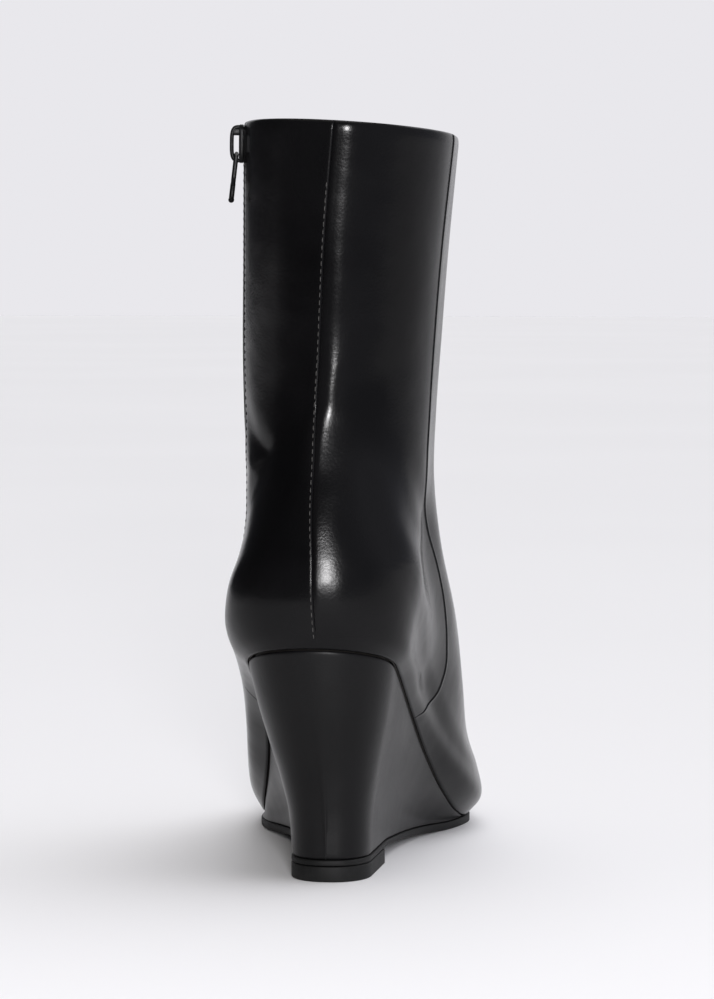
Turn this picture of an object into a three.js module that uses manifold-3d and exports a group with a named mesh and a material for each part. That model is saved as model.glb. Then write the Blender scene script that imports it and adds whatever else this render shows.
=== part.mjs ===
// A right-foot ankle boot in smooth leather on a covered wedge heel, closed by a zip on its inner side.
//
// The boot stands on the floor, z = 0. +Y runs from heel to toe, +X to the outer side of the foot and +Z up.
// Lengths are in millimetres. The origin is the middle of the boot's box, on the floor.
//
// The upper is one leather wall, worked out from a stack of sections that go round the foot. The lowest one
// follows the edge of the sole, and the next ones leave the toe, climb the instep and end at the collar.
// The wedge, outsole, insole and zip all take their places from the same functions.

import * as THREE from "three";
import { mergeVertices } from "three/addons/utils/BufferGeometryUtils.js";
import Module from "manifold-3d";

const wasm = await Module();
wasm.setup();

// Driving sizes of the last
const SHOE_LENGTH = 232; // heel to toe along the floor, at the edge of the upper
const BALL_WIDTH = 90; // widest part of the forefoot
const HEEL_WIDTH = 66; // widest part of the heel counter
const HEEL_HEIGHT = 85.5; // edge of the upper above the floor, at the back
const TOE_SPRING = 5.5; // rise of the outsole under the toe tip
const TOE_SWING = 5; // how far the toe tip lies towards the inner side
const SHAFT_HEIGHT = 188; // collar above the edge of the upper, at the back
const COLLAR_WIDTH = 77.4;
const COLLAR_DEPTH = 99;
const COLLAR_DIP = 3.5; // how much lower the collar is in front
const COLLAR_TILT = 4.5; // how much lower the collar is at its outer side than at its inner side
const SHAFT_LEAN = 7.2; // how far the collar leans to the outer side

// Driving sizes of the pieces
const GAP = 0.3; // between pieces that meet
const WALL = 1.8; // leather and lining together
const SOLE_THICKNESS = 3.2;
const SOLE_MARGIN = 1.1; // how far the outsole stands out under the forefoot
const INSOLE_THICKNESS = 2.6;
const INSOLE_MARGIN = 1.2; // between insole and wall
const WEDGE_INSET = 0.9; // how far the wedge keeps behind the upper's edge
const HEEL_BASE_WIDTH = 29; // the wedge where it meets the top lift
const HEEL_BASE_SHIFT = 3; // of that base, to the outer side
const HEEL_BASE_SETBACK = 10.5; // of that base, forward of the back of the upper's edge
const HEEL_BASE_LENGTH = 46;
const TOP_LIFT_HEIGHT = 5.6;
const ZIP_SLOT_WIDTH = 5;
const ZIP_TAPE_WIDTH = 22;
const ZIP_TAPE_THICKNESS = 0.9;
const ZIP_LENGTH = 158; // from the collar down
const SLIDER_LENGTH = 14;
const SLIDER_WIDTH = 7.2;
const SLIDER_PLATE = 1.6;
const BRIDGE_WIDTH = 2;
const BRIDGE_METAL = 1.1;
const PULL_LENGTH = 18; // from its hinge to its tip
const PULL_WIRE = 1.4; // thickness of the pull's eye
const PULL_LEAN = 6; // degrees that the pull stands away from the leather at rest

// The sections of the upper, from the edge of the sole up to the collar. Lengths are shares of named sizes:
// leg       how far the section belongs to the shaft, which takes the collar's sizes, and not to the foot
// back      its back end, of the foot's length or the collar's depth
// rise      the height of its back end, of the shaft's height
// front     its front end, of the foot's length or the collar's depth
// climb     the height of its front end, of the way from the toe's edge to the collar
// sag       how much of the sole's bend it keeps
// rear      where it is widest at the back, of its own length, with outer and inner half widths
// fore      where it is widest in front, outer and inner, with outer and inner half widths
// waist     how much it draws in between them, outer and inner, of the ball's width
// backRound, toeRound, toePoint    exponents of its rounded ends
// lean      how far it leans to the outer side, of the shaft's lean
const SECTIONS = [
  { leg: 0.0, back: 0.0, rise: 0.0, front: 1.0, climb: 0.0, sag: 1.0, rearAt: 0.116, rearOut: 0.41, rearIn: 0.43,
    foreAtOut: 0.7, foreAtIn: 0.68, foreOut: 0.43, foreIn: 0.465, waistOut: 0.03, waistIn: 0.045,
    backRound: 2.1, toeRound: 1.75, toePoint: 1.9, lean: 0.0 },
  { leg: 0.0, back: -0.016, rise: 0.032, front: 1.004, climb: 0.027, sag: 0.95, rearAt: 0.13, rearOut: 0.47, rearIn: 0.505,
    foreAtOut: 0.66, foreAtIn: 0.68, foreOut: 0.5, foreIn: 0.508, waistOut: 0.06, waistIn: 0.015,
    backRound: 2.1, toeRound: 1.8, toePoint: 1.9, lean: 0.0 },
  { leg: 0.0, back: -0.026, rise: 0.075, front: 0.972, climb: 0.063, sag: 0.84, rearAt: 0.138, rearOut: 0.49, rearIn: 0.54,
    foreAtOut: 0.665, foreAtIn: 0.685, foreOut: 0.486, foreIn: 0.507, waistOut: 0.052, waistIn: 0.02,
    backRound: 2.1, toeRound: 1.85, toePoint: 1.9, lean: 0.0 },
  { leg: 0.0, back: -0.028, rise: 0.12, front: 0.88, climb: 0.107, sag: 0.66, rearAt: 0.154, rearOut: 0.495, rearIn: 0.545,
    foreAtOut: 0.655, foreAtIn: 0.695, foreOut: 0.453, foreIn: 0.475, waistOut: 0.015, waistIn: 0.025,
    backRound: 2.1, toeRound: 1.95, toePoint: 1.9, lean: 0.04 },
  { leg: 0.15, back: -0.025, rise: 0.168, front: 0.828, climb: 0.176, sag: 0.44, rearAt: 0.185, rearOut: 0.48, rearIn: 0.525,
    foreAtOut: 0.625, foreAtIn: 0.67, foreOut: 0.462, foreIn: 0.453, waistOut: 0.005, waistIn: 0.015,
    backRound: 2.1, toeRound: 2.0, toePoint: 1.9, lean: 0.12 },
  { leg: 0.4, back: -0.018, rise: 0.221, front: 0.828, climb: 0.272, sag: 0.22, rearAt: 0.245, rearOut: 0.455, rearIn: 0.475,
    foreAtOut: 0.59, foreAtIn: 0.615, foreOut: 0.466, foreIn: 0.43, waistOut: 0.0, waistIn: 0.006,
    backRound: 2.0, toeRound: 2.0, toePoint: 1.9, lean: 0.21 },
  { leg: 0.7, back: -0.002, rise: 0.285, front: 0.888, climb: 0.376, sag: 0.07, rearAt: 0.325, rearOut: 0.436, rearIn: 0.43,
    foreAtOut: 0.54, foreAtIn: 0.555, foreOut: 0.444, foreIn: 0.422, waistOut: 0.0, waistIn: 0.0,
    backRound: 2.0, toeRound: 2.0, toePoint: 1.95, lean: 0.29 },
  { leg: 1.0, back: 0.036, rise: 0.364, front: 1.08, climb: 0.487, sag: 0.0, rearAt: 0.39, rearOut: 0.426, rearIn: 0.418,
    foreAtOut: 0.565, foreAtIn: 0.565, foreOut: 0.434, foreIn: 0.424, waistOut: 0.0, waistIn: 0.0,
    backRound: 2.0, toeRound: 2.0, toePoint: 2.0, lean: 0.36 },
  { leg: 1.0, back: 0.061, rise: 0.46, front: 1.0, climb: 0.598, sag: 0.0, rearAt: 0.44, rearOut: 0.44, rearIn: 0.441,
    foreAtOut: 0.57, foreAtIn: 0.57, foreOut: 0.442, foreIn: 0.443, waistOut: 0.0, waistIn: 0.0,
    backRound: 2.0, toeRound: 2.0, toePoint: 2.0, lean: 0.4 },
  { leg: 1.0, back: 0.061, rise: 0.588, front: 0.98, climb: 0.705, sag: 0.0, rearAt: 0.46, rearOut: 0.456, rearIn: 0.46,
    foreAtOut: 0.57, foreAtIn: 0.57, foreOut: 0.457, foreIn: 0.46, waistOut: 0.0, waistIn: 0.0,
    backRound: 2.0, toeRound: 2.0, toePoint: 2.0, lean: 0.48 },
  { leg: 1.0, back: 0.038, rise: 0.769, front: 0.99, climb: 0.839, sag: 0.0, rearAt: 0.47, rearOut: 0.475, rearIn: 0.474,
    foreAtOut: 0.565, foreAtIn: 0.565, foreOut: 0.476, foreIn: 0.475, waistOut: 0.0, waistIn: 0.0,
    backRound: 2.0, toeRound: 2.0, toePoint: 2.0, lean: 0.66 },
  { leg: 1.0, back: 0.01, rise: 1.0, front: 1.01, climb: 1.0, sag: 0.0, rearAt: 0.48, rearOut: 0.5, rearIn: 0.5,
    foreAtOut: 0.56, foreAtIn: 0.56, foreOut: 0.5, foreIn: 0.502, waistOut: 0.0, waistIn: 0.0,
    backRound: 2.0, toeRound: 2.0, toePoint: 2.0, lean: 1.0 },
];

// The bend of the sole along the foot: heel and toe are shares of the heel's rise and of the toe spring
const SOLE_LINE = [
  { at: 0.0, heel: 1.0, toe: 0.0 },
  { at: 0.086, heel: 0.927, toe: 0.0 },
  { at: 0.194, heel: 0.787, toe: 0.0 },
  { at: 0.302, heel: 0.61, toe: 0.0 },
  { at: 0.409, heel: 0.396, toe: 0.0 },
  { at: 0.517, heel: 0.183, toe: 0.0 },
  { at: 0.603, heel: 0.058, toe: 0.0 },
  { at: 0.668, heel: 0.01, toe: 0.0 },
  { at: 0.7, heel: 0.003, toe: 0.0 },
  { at: 0.75, heel: 0.0, toe: 0.03 },
  { at: 0.845, heel: 0.0, toe: 0.2 },
  { at: 0.931, heel: 0.0, toe: 0.53 },
  { at: 1.0, heel: 0.0, toe: 1.0 },
];

// The outsole, from the heel's base to the forefoot: rise is the height of its underside, of the top lift's,
// body its thickness, of the outsole's, and spreadOut and spreadIn how far each side of its outline has left
// the heel's base for the edge of the upper
const ARCH_LINE = [
  { at: 0.0, rise: 1.0, body: 0.62, spreadOut: 0.0, spreadIn: 0.0 },
  { at: 0.245, rise: 1.0, body: 0.64, spreadOut: 0.02, spreadIn: 0.06 },
  { at: 0.345, rise: 0.76, body: 0.72, spreadOut: 0.12, spreadIn: 0.27 },
  { at: 0.431, rise: 0.5, body: 0.84, spreadOut: 0.23, spreadIn: 0.52 },
  { at: 0.517, rise: 0.24, body: 0.94, spreadOut: 0.39, spreadIn: 0.78 },
  { at: 0.57, rise: 0.09, body: 1.0, spreadOut: 0.55, spreadIn: 0.91 },
  { at: 0.62, rise: 0.0, body: 1.0, spreadOut: 0.73, spreadIn: 0.97 },
  { at: 0.668, rise: 0.0, body: 1.0, spreadOut: 0.88, spreadIn: 1.0 },
  { at: 0.74, rise: 0.0, body: 1.0, spreadOut: 1.0, spreadIn: 1.0 },
  { at: 1.0, rise: 0.0, body: 1.0, spreadOut: 1.0, spreadIn: 1.0 },
];

// The wedge's side: how far it has flared out from its base towards the upper, at each share of its height
const FLARE_LINE = [
  { at: 0.0, out: 0.0 },
  { at: 0.2, out: 0.07 },
  { at: 0.4, out: 0.27 },
  { at: 0.6, out: 0.54 },
  { at: 0.8, out: 0.8 },
  { at: 1.0, out: 1.0 },
];

// The zip's line down the inner side: how far round from the back it lies, at each share of the way up the sections
const ZIP_LINE = [
  { at: 0.0, round: -0.3 },
  { at: 0.41, round: -0.304 },
  { at: 0.5, round: -0.334 },
  { at: 0.545, round: -0.35 },
  { at: 0.591, round: -0.364 },
  { at: 0.636, round: -0.375 },
  { at: 0.727, round: -0.386 },
  { at: 0.818, round: -0.393 },
  { at: 1.0, round: -0.4075 },
];

// Fineness of the meshes
const SIDE_STEPS = 24; // round each half of the upper
const SIDE_CROWDING = 0.45; // how much those steps crowd at heel and toe
const TRACE_STEPS = 60; // round each part of a section, when it is traced
const FOOT_LEVELS = [0, 0.35, 0.7, 1, 1.4, 1.8, 2.2, 2.6, 3, 3.4, 3.8, 4.2, 4.6, 5, 5.5, 6, 6.5, 7, 7.5];
const SHAFT_LEVELS = [8, 8.5, 9, 9.5, 10, 10.5, 11];
const NORMAL_STEP = 0.01; // round the upper, for its slope
const NORMAL_RISE = 0.05; // of a level, for its slope upwards
const MERGE_STEP = 1e-4;

const lerp = THREE.MathUtils.lerp;
const clamp = THREE.MathUtils.clamp;
const point = (x, y, z) => new THREE.Vector3(x, y, z);
const COLLAR_LEVEL = SECTIONS.length - 1;
const FOREFOOT_EDGE = SOLE_THICKNESS + GAP;

// A smooth line through a table's column that never swings past its rows.
function along(table, column, at) {
  const x = table.map((row) => row.at);
  const y = table.map((row) => row[column]);
  const last = x.length - 1;
  const slope = (i) => (y[i + 1] - y[i]) / (x[i + 1] - x[i]);
  const tangent = (i) => {
    if (i === 0) return slope(0);
    if (i === last) return slope(last - 1);
    const [before, after] = [slope(i - 1), slope(i)];
    return before * after <= 0 ? 0 : (2 * before * after) / (before + after);
  };
  const place = clamp(at, x[0], x[last]);
  let i = 0;
  while (i < last - 1 && place > x[i + 1]) i += 1;
  const width = x[i + 1] - x[i];
  const s = (place - x[i]) / width;
  return (
    (1 + 2 * s) * (1 - s) ** 2 * y[i] +
    s * (1 - s) ** 2 * width * tangent(i) +
    s * s * (3 - 2 * s) * y[i + 1] +
    s * s * (s - 1) * width * tangent(i + 1)
  );
}

// Height of the upper's lower edge at a place along the foot, y.
function edgeHeight(y) {
  const at = y / SHOE_LENGTH;
  return (
    FOREFOOT_EDGE +
    along(SOLE_LINE, "heel", at) * (HEEL_HEIGHT - FOREFOOT_EDGE) +
    along(SOLE_LINE, "toe", at) * TOE_SPRING
  );
}

// How far the foot curves towards the inner side at y.
const SWING_START = 0.58;
function swing(y) {
  const share = clamp((y / SHOE_LENGTH - SWING_START) / (1 - SWING_START), 0, 1.1);
  return -TOE_SWING * share * share;
}

// A row of the table with its lengths in millimetres
function sectionSizes(row) {
  const lengthScale = lerp(SHOE_LENGTH, COLLAR_DEPTH, row.leg);
  const rearScale = lerp(HEEL_WIDTH, COLLAR_WIDTH, row.leg);
  const foreScale = lerp(BALL_WIDTH, COLLAR_WIDTH, row.leg);
  const collarFront = HEEL_HEIGHT + SHAFT_HEIGHT - COLLAR_DIP;
  const back = row.back * lengthScale;
  const front = row.front * lengthScale;
  return {
    back,
    front,
    backHeight: HEEL_HEIGHT + row.rise * SHAFT_HEIGHT,
    frontHeight: lerp(FOREFOOT_EDGE + TOE_SPRING, collarFront, row.climb),
    sag: row.sag,
    rearAt: lerp(back, front, row.rearAt),
    rearOut: row.rearOut * rearScale,
    rearIn: row.rearIn * rearScale,
    foreAtOut: lerp(back, front, row.foreAtOut),
    foreAtIn: lerp(back, front, row.foreAtIn),
    foreOut: row.foreOut * foreScale,
    foreIn: row.foreIn * foreScale,
    waistOut: row.waistOut * BALL_WIDTH,
    waistIn: row.waistIn * BALL_WIDTH,
    backRound: row.backRound,
    toeRound: row.toeRound,
    toePoint: row.toePoint,
    lean: row.lean * SHAFT_LEAN,
  };
}

const SIZES = SECTIONS.map(sectionSizes);

// The section at a level, which may lie between two rows: a smooth line runs through each size.
function sectionAt(level) {
  const i = Math.min(Math.floor(level), COLLAR_LEVEL - 1);
  const s = level - i;
  const smooth = (name) => {
    const p1 = SIZES[i][name];
    const p2 = SIZES[i + 1][name];
    const p0 = i > 0 ? SIZES[i - 1][name] : 2 * p1 - p2;
    const p3 = i + 2 <= COLLAR_LEVEL ? SIZES[i + 2][name] : 2 * p2 - p1;
    return (
      0.5 *
      (2 * p1 + (p2 - p0) * s + (2 * p0 - 5 * p1 + 4 * p2 - p3) * s * s + (3 * p1 - p0 - 3 * p2 + p3) * s ** 3)
    );
  };
  const at = Object.fromEntries(Object.keys(SIZES[0]).map((name) => [name, smooth(name)]));
  return {
    ...at,
    outer: { rear: at.rearOut, fore: at.foreOut, foreAt: at.foreAtOut, waist: at.waistOut },
    inner: { rear: at.rearIn, fore: at.foreIn, foreAt: at.foreAtIn, waist: at.waistIn },
  };
}

// The half width of a section at y: a rounded back, a waist between heel and ball, and a rounded toe.
// A section that is drawn in all round by inset keeps its shape.
function halfWidth(section, half, y, inset = 0) {
  const back = section.back + inset;
  const front = section.front - inset;
  const rear = half.rear - inset;
  const fore = half.fore - inset;
  if (y <= section.rearAt) {
    const t = clamp((section.rearAt - y) / (section.rearAt - back), 0, 1);
    return rear * (1 - t ** 2) ** (1 / section.backRound);
  }
  if (y <= half.foreAt) {
    const t = (y - section.rearAt) / (half.foreAt - section.rearAt);
    return lerp(rear, fore, t * t * (3 - 2 * t)) - half.waist * Math.sin(Math.PI * t) ** 2;
  }
  const t = clamp((y - half.foreAt) / (front - half.foreAt), 0, 1);
  return fore * (1 - t ** section.toeRound) ** (1 / section.toePoint);
}

// Places along one half of a section, from its back to its front, closer where it turns.
function stations(back, rearAt, foreAt, front, steps) {
  const turn = (i) => 1 - Math.cos(((i / steps) * Math.PI) / 2);
  const list = [];
  for (let i = 0; i < steps; i += 1) list.push(lerp(back, rearAt, turn(i)));
  for (let i = 0; i < steps; i += 1) list.push(lerp(rearAt, foreAt, i / steps));
  for (let i = 0; i <= steps; i += 1) list.push(lerp(front, foreAt, turn(steps - i)));
  return list;
}

// One half of a section as points in space with their distance along it.
const TILT_START = 8; // the level from which the sections tilt towards the collar's slant
const traced = new Map();
function traceHalf(level, isOuter) {
  const key = level.toFixed(5) + isOuter;
  if (traced.has(key)) return traced.get(key);
  const section = sectionAt(level);
  const half = isOuter ? section.outer : section.inner;
  const side = isOuter ? 1 : -1;
  const length = section.front - section.back;
  const toeEdge = edgeHeight(SHOE_LENGTH);
  const tilt = COLLAR_TILT * clamp((level - TILT_START) / (COLLAR_LEVEL - TILT_START), 0, 1) ** 2;
  const points = stations(section.back, section.rearAt, half.foreAt, section.front, TRACE_STEPS).map((y) => {
    const share = (y - section.back) / length;
    const bend = edgeHeight(share * SHOE_LENGTH) - lerp(HEEL_HEIGHT, toeEdge, share);
    const x = side * halfWidth(section, half, y);
    const z = lerp(section.backHeight, section.frontHeight, share) + section.sag * bend - (tilt * x) / COLLAR_WIDTH;
    return point(x + swing(y) + section.lean, y, z);
  });
  const distances = [0];
  for (let i = 1; i < points.length; i += 1) distances.push(distances[i - 1] + points[i].distanceTo(points[i - 1]));
  const made = { points, distances, total: distances[distances.length - 1] };
  traced.set(key, made);
  return made;
}

// A point of the upper's outer face. round is 0 at the back, 1 in front by the outer side, -1 by the inner side.
function facePoint(level, round) {
  const wrapped = round > 1 ? round - 2 : round < -1 ? round + 2 : round;
  const { points, distances, total } = traceHalf(level, wrapped >= 0);
  const distance = Math.abs(wrapped) * total;
  let [low, high] = [0, distances.length - 1];
  while (high - low > 1) {
    const middle = (low + high) >> 1;
    if (distances[middle] > distance) high = middle;
    else low = middle;
  }
  const span = distances[high] - distances[low];
  return points[low].clone().lerp(points[high], span > 0 ? (distance - distances[low]) / span : 0);
}

// The direction out of the upper's face. At the sole's edge it stays level, so the wall ends flat on the sole.
const LEVEL_EDGE = 0.8;
function faceNormal(level, round) {
  const low = Math.max(level - NORMAL_RISE, 0);
  const high = Math.min(level + NORMAL_RISE, COLLAR_LEVEL);
  const up = facePoint(high, round).sub(facePoint(low, round));
  const around = facePoint(level, round + NORMAL_STEP).sub(facePoint(level, round - NORMAL_STEP));
  const normal = around.cross(up).normalize();
  normal.z *= clamp(level / LEVEL_EDGE, 0, 1);
  return normal.normalize();
}

// A point at a depth under the upper's outer face.
function wallPoint(level, round, depth) {
  return facePoint(level, round).addScaledVector(faceNormal(level, round), -depth);
}

// Closed meshes are gathered as points and faces of three or four corners, seen anticlockwise from outside.
function geometryOf(points, faces) {
  const positions = [];
  const corner = (i) => positions.push(...points[i].toArray());
  for (const face of faces) {
    for (let i = 2; i < face.length; i += 1) [face[0], face[i - 1], face[i]].forEach(corner);
  }
  const geometry = new THREE.BufferGeometry();
  geometry.setAttribute("position", new THREE.Float32BufferAttribute(positions, 3));
  geometry.computeVertexNormals();
  return geometry;
}

function solidOf(geometry) {
  const bare = geometry.index ? geometry.toNonIndexed() : geometry.clone();
  bare.deleteAttribute("normal");
  bare.deleteAttribute("uv");
  const merged = mergeVertices(bare, MERGE_STEP);
  return new wasm.Manifold(
    new wasm.Mesh({
      numProp: 3,
      vertProperties: merged.attributes.position.array,
      triVerts: new Uint32Array(merged.index.array),
    }),
  );
}

function geometryOfSolid(solid) {
  const mesh = solid.getMesh();
  const made = new THREE.BufferGeometry();
  const positions = [];
  for (let i = 0; i < mesh.numVert; i += 1) {
    positions.push(...mesh.vertProperties.slice(i * mesh.numProp, i * mesh.numProp + 3));
  }
  made.setAttribute("position", new THREE.Float32BufferAttribute(positions, 3));
  made.setIndex(new THREE.BufferAttribute(mesh.triVerts, 1));
  const flat = made.toNonIndexed();
  flat.computeVertexNormals();
  return flat;
}

// A patch of wall between two depths, over a grid of levels and rounds. It closes on itself where asked.
function wallPatch(levels, roundsAt, outerDepth, innerDepth, closesRound) {
  const columns = roundsAt(levels[0], 0).length;
  const points = [];
  for (const depth of [outerDepth, innerDepth]) {
    levels.forEach((level, j) => {
      for (const round of roundsAt(level, j)) points.push(wallPoint(level, round, depth));
    });
  }
  const rows = levels.length;
  const outer = (j, i) => j * columns + (i % columns);
  const inner = (j, i) => rows * columns + outer(j, i);
  const spans = closesRound ? columns : columns - 1;
  const faces = [];
  for (let i = 0; i < spans; i += 1) {
    for (let j = 0; j < rows - 1; j += 1) {
      faces.push([outer(j, i), outer(j, i + 1), outer(j + 1, i + 1), outer(j + 1, i)]);
      faces.push([inner(j, i), inner(j + 1, i), inner(j + 1, i + 1), inner(j, i + 1)]);
    }
    faces.push([outer(0, i), inner(0, i), inner(0, i + 1), outer(0, i + 1)]);
    const top = rows - 1;
    faces.push([outer(top, i), outer(top, i + 1), inner(top, i + 1), inner(top, i)]);
  }
  if (!closesRound) {
    const end = columns - 1;
    for (let j = 0; j < rows - 1; j += 1) {
      faces.push([outer(j, 0), outer(j + 1, 0), inner(j + 1, 0), inner(j, 0)]);
      faces.push([outer(j, end), inner(j, end), inner(j + 1, end), outer(j + 1, end)]);
    }
  }
  return geometryOf(points, faces);
}

// Where the zip's line lies round the upper at a level
const zipRound = (level) => along(ZIP_LINE, "round", level / COLLAR_LEVEL);

// The level on the zip's line at a height below the collar, found by halving.
function zipLevel(drop) {
  const top = facePoint(COLLAR_LEVEL, zipRound(COLLAR_LEVEL));
  let [low, high] = [0, COLLAR_LEVEL];
  for (let i = 0; i < 40; i += 1) {
    const middle = (low + high) / 2;
    if (top.z - facePoint(middle, zipRound(middle)).z > drop) low = middle;
    else high = middle;
  }
  return (low + high) / 2;
}

// Rounds of a strip of a real width along the zip's line, at a level.
function stripRounds(level, width, columns) {
  const middle = zipRound(level);
  const perRound = traceHalf(level, false).total;
  return Array.from({ length: columns }, (_, i) => middle + ((i / (columns - 1) - 0.5) * width) / perRound);
}

function stripLevels(fromDrop, toDrop, rows) {
  return Array.from({ length: rows }, (_, i) => zipLevel(lerp(fromDrop, toDrop, i / (rows - 1))));
}

// Upper: the whole leather wall, open at the collar and under the foot, with the zip's slot cut through
function upperGeometry() {
  const warp = (s) => s - (SIDE_CROWDING * Math.sin(2 * Math.PI * s)) / (2 * Math.PI);
  const rounds = [];
  for (let i = -SIDE_STEPS; i < SIDE_STEPS; i += 1) rounds.push(Math.sign(i) * warp(Math.abs(i) / SIDE_STEPS));
  const wall = wallPatch([...FOOT_LEVELS, ...SHAFT_LEVELS], () => rounds, 0, WALL, true);
  const SLOT_ROWS = 18;
  const REACH = 3; // of the cutter past each face
  const levels = stripLevels(ZIP_LENGTH, 0, SLOT_ROWS);
  const cutter = wallPatch(levels, (level) => stripRounds(level, ZIP_SLOT_WIDTH, 3), -REACH, WALL + REACH, false);
  const LID_SINK = 0.3; // of the cut at the slot's mouth below the collar's edge
  const lid = new THREE.BoxGeometry(REACH + WALL + REACH, ZIP_SLOT_WIDTH, REACH);
  const mouth = facePoint(COLLAR_LEVEL, zipRound(COLLAR_LEVEL));
  lid.translate(mouth.x + WALL / 2, mouth.y, mouth.z + REACH / 2 - LID_SINK);
  return geometryOfSolid(solidOf(wall).subtract(solidOf(cutter)).subtract(solidOf(lid)));
}

// A flat piece between an outer and an inner outline, with its top and underside as heights along the foot.
// Both outlines hold as many points, and each pair of them lies at one y.
function slabGeometry(outerLine, innerLine, top, underside) {
  const points = [];
  const count = outerLine.length;
  for (const height of [underside, top]) {
    for (const line of [outerLine, innerLine]) line.forEach(({ x, y }) => points.push(point(x, y, height(y))));
  }
  const low = (line, i) => line * count + i;
  const high = (line, i) => 2 * count + low(line, i);
  const faces = [];
  for (let i = 0; i < count - 1; i += 1) {
    faces.push([high(0, i), high(0, i + 1), high(1, i + 1), high(1, i)]);
    faces.push([low(0, i), low(1, i), low(1, i + 1), low(0, i + 1)]);
    faces.push([low(0, i), low(0, i + 1), high(0, i + 1), high(0, i)]);
    faces.push([low(1, i), high(1, i), high(1, i + 1), low(1, i + 1)]);
  }
  faces.push([low(0, 0), high(0, 0), high(1, 0), low(1, 0)]);
  faces.push([low(0, count - 1), low(1, count - 1), high(1, count - 1), high(0, count - 1)]);
  return geometryOf(points, faces);
}

const EDGE = sectionAt(0);
const NARROW_END = 0.05; // half width left at the very ends, so each end is a tiny flat
const topOfSole = (y) => undersideOfSole(y) + along(ARCH_LINE, "body", y / SHOE_LENGTH) * SOLE_THICKNESS;
function undersideOfSole(y) {
  const at = y / SHOE_LENGTH;
  return along(ARCH_LINE, "rise", at) * (TOP_LIFT_HEIGHT + GAP) + along(SOLE_LINE, "toe", at) * TOE_SPRING;
}

// The outline of the upper's edge, drawn in by inset, between two places along the foot
function edgeOutline(places, inset) {
  const line = (half, side) =>
    places.map((y) => ({ x: side * Math.max(halfWidth(EDGE, half, y, inset), NARROW_END) + swing(y), y }));
  return [line(EDGE.outer, 1), line(EDGE.inner, -1)];
}

const PLAN_STEPS = 15;
function insoleGeometry() {
  const inset = WALL + INSOLE_MARGIN;
  const places = stations(EDGE.back + inset, EDGE.rearAt, EDGE.outer.foreAt, EDGE.front - inset, PLAN_STEPS);
  const [outer, inner] = edgeOutline(places, inset);
  return slabGeometry(outer, inner, (y) => edgeHeight(y) + INSOLE_THICKNESS, edgeHeight);
}

// The outline of the heel's base, which the wedge, outsole and top lift share, drawn in by inset.
const BASE_ROUND = 0.36; // how far the round back reaches, of the base's length
const BASE_SPREAD = 0.06; // how much wider the base's front end is
const BASE_CORNER = 2.3; // exponent of the round back
const BASE_BACK = HEEL_BASE_SETBACK;
const BASE_FRONT = HEEL_BASE_SETBACK + HEEL_BASE_LENGTH;
const BASE_ROUND_END = lerp(BASE_BACK, BASE_FRONT, BASE_ROUND);
function baseHalfWidth(y, inset) {
  const half = HEEL_BASE_WIDTH / 2 - inset;
  if (y < BASE_ROUND_END) {
    const t = clamp((BASE_ROUND_END - y) / (BASE_ROUND_END - BASE_BACK - inset), 0, 1);
    return half * (1 - t ** 2) ** (1 / BASE_CORNER);
  }
  return half * (1 + (BASE_SPREAD * (y - BASE_ROUND_END)) / (BASE_FRONT - BASE_ROUND_END));
}

// The outline of the sole: the heel's base at the back, the upper's edge with its margin in front, and a
// smooth change between them.
const WEDGE_END = 0.655; // where the wedge thins out, of the foot's length
const wedgeFront = WEDGE_END * SHOE_LENGTH;
function soleX(y, side, inset) {
  const half = side > 0 ? EDGE.outer : EDGE.inner;
  const base = side * Math.max(baseHalfWidth(Math.min(y, BASE_FRONT), inset), NARROW_END) + HEEL_BASE_SHIFT;
  const forefoot = side * Math.max(halfWidth(EDGE, half, y, inset - SOLE_MARGIN), NARROW_END) + swing(y);
  return lerp(base, forefoot, along(ARCH_LINE, side > 0 ? "spreadOut" : "spreadIn", y / SHOE_LENGTH));
}

function soleOutline(places, inset) {
  return [1, -1].map((side) => places.map((y) => ({ x: soleX(y, side, inset), y })));
}

function outsoleGeometry() {
  const front = EDGE.front + SOLE_MARGIN;
  const places = stations(BASE_BACK, BASE_ROUND_END, EDGE.outer.foreAt, front, PLAN_STEPS);
  return slabGeometry(...soleOutline(places, 0), topOfSole, undersideOfSole);
}

const LIFT_STEPS = 8;
function topLiftGeometry() {
  const places = stations(BASE_BACK, BASE_ROUND_END, BASE_FRONT - GAP, BASE_FRONT, LIFT_STEPS);
  const flatPlaces = places.filter((y) => y <= BASE_ROUND_END).concat([BASE_FRONT]);
  const [outer, inner] = soleOutline(flatPlaces, 0);
  return slabGeometry(outer, inner, () => TOP_LIFT_HEIGHT, () => 0);
}

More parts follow.
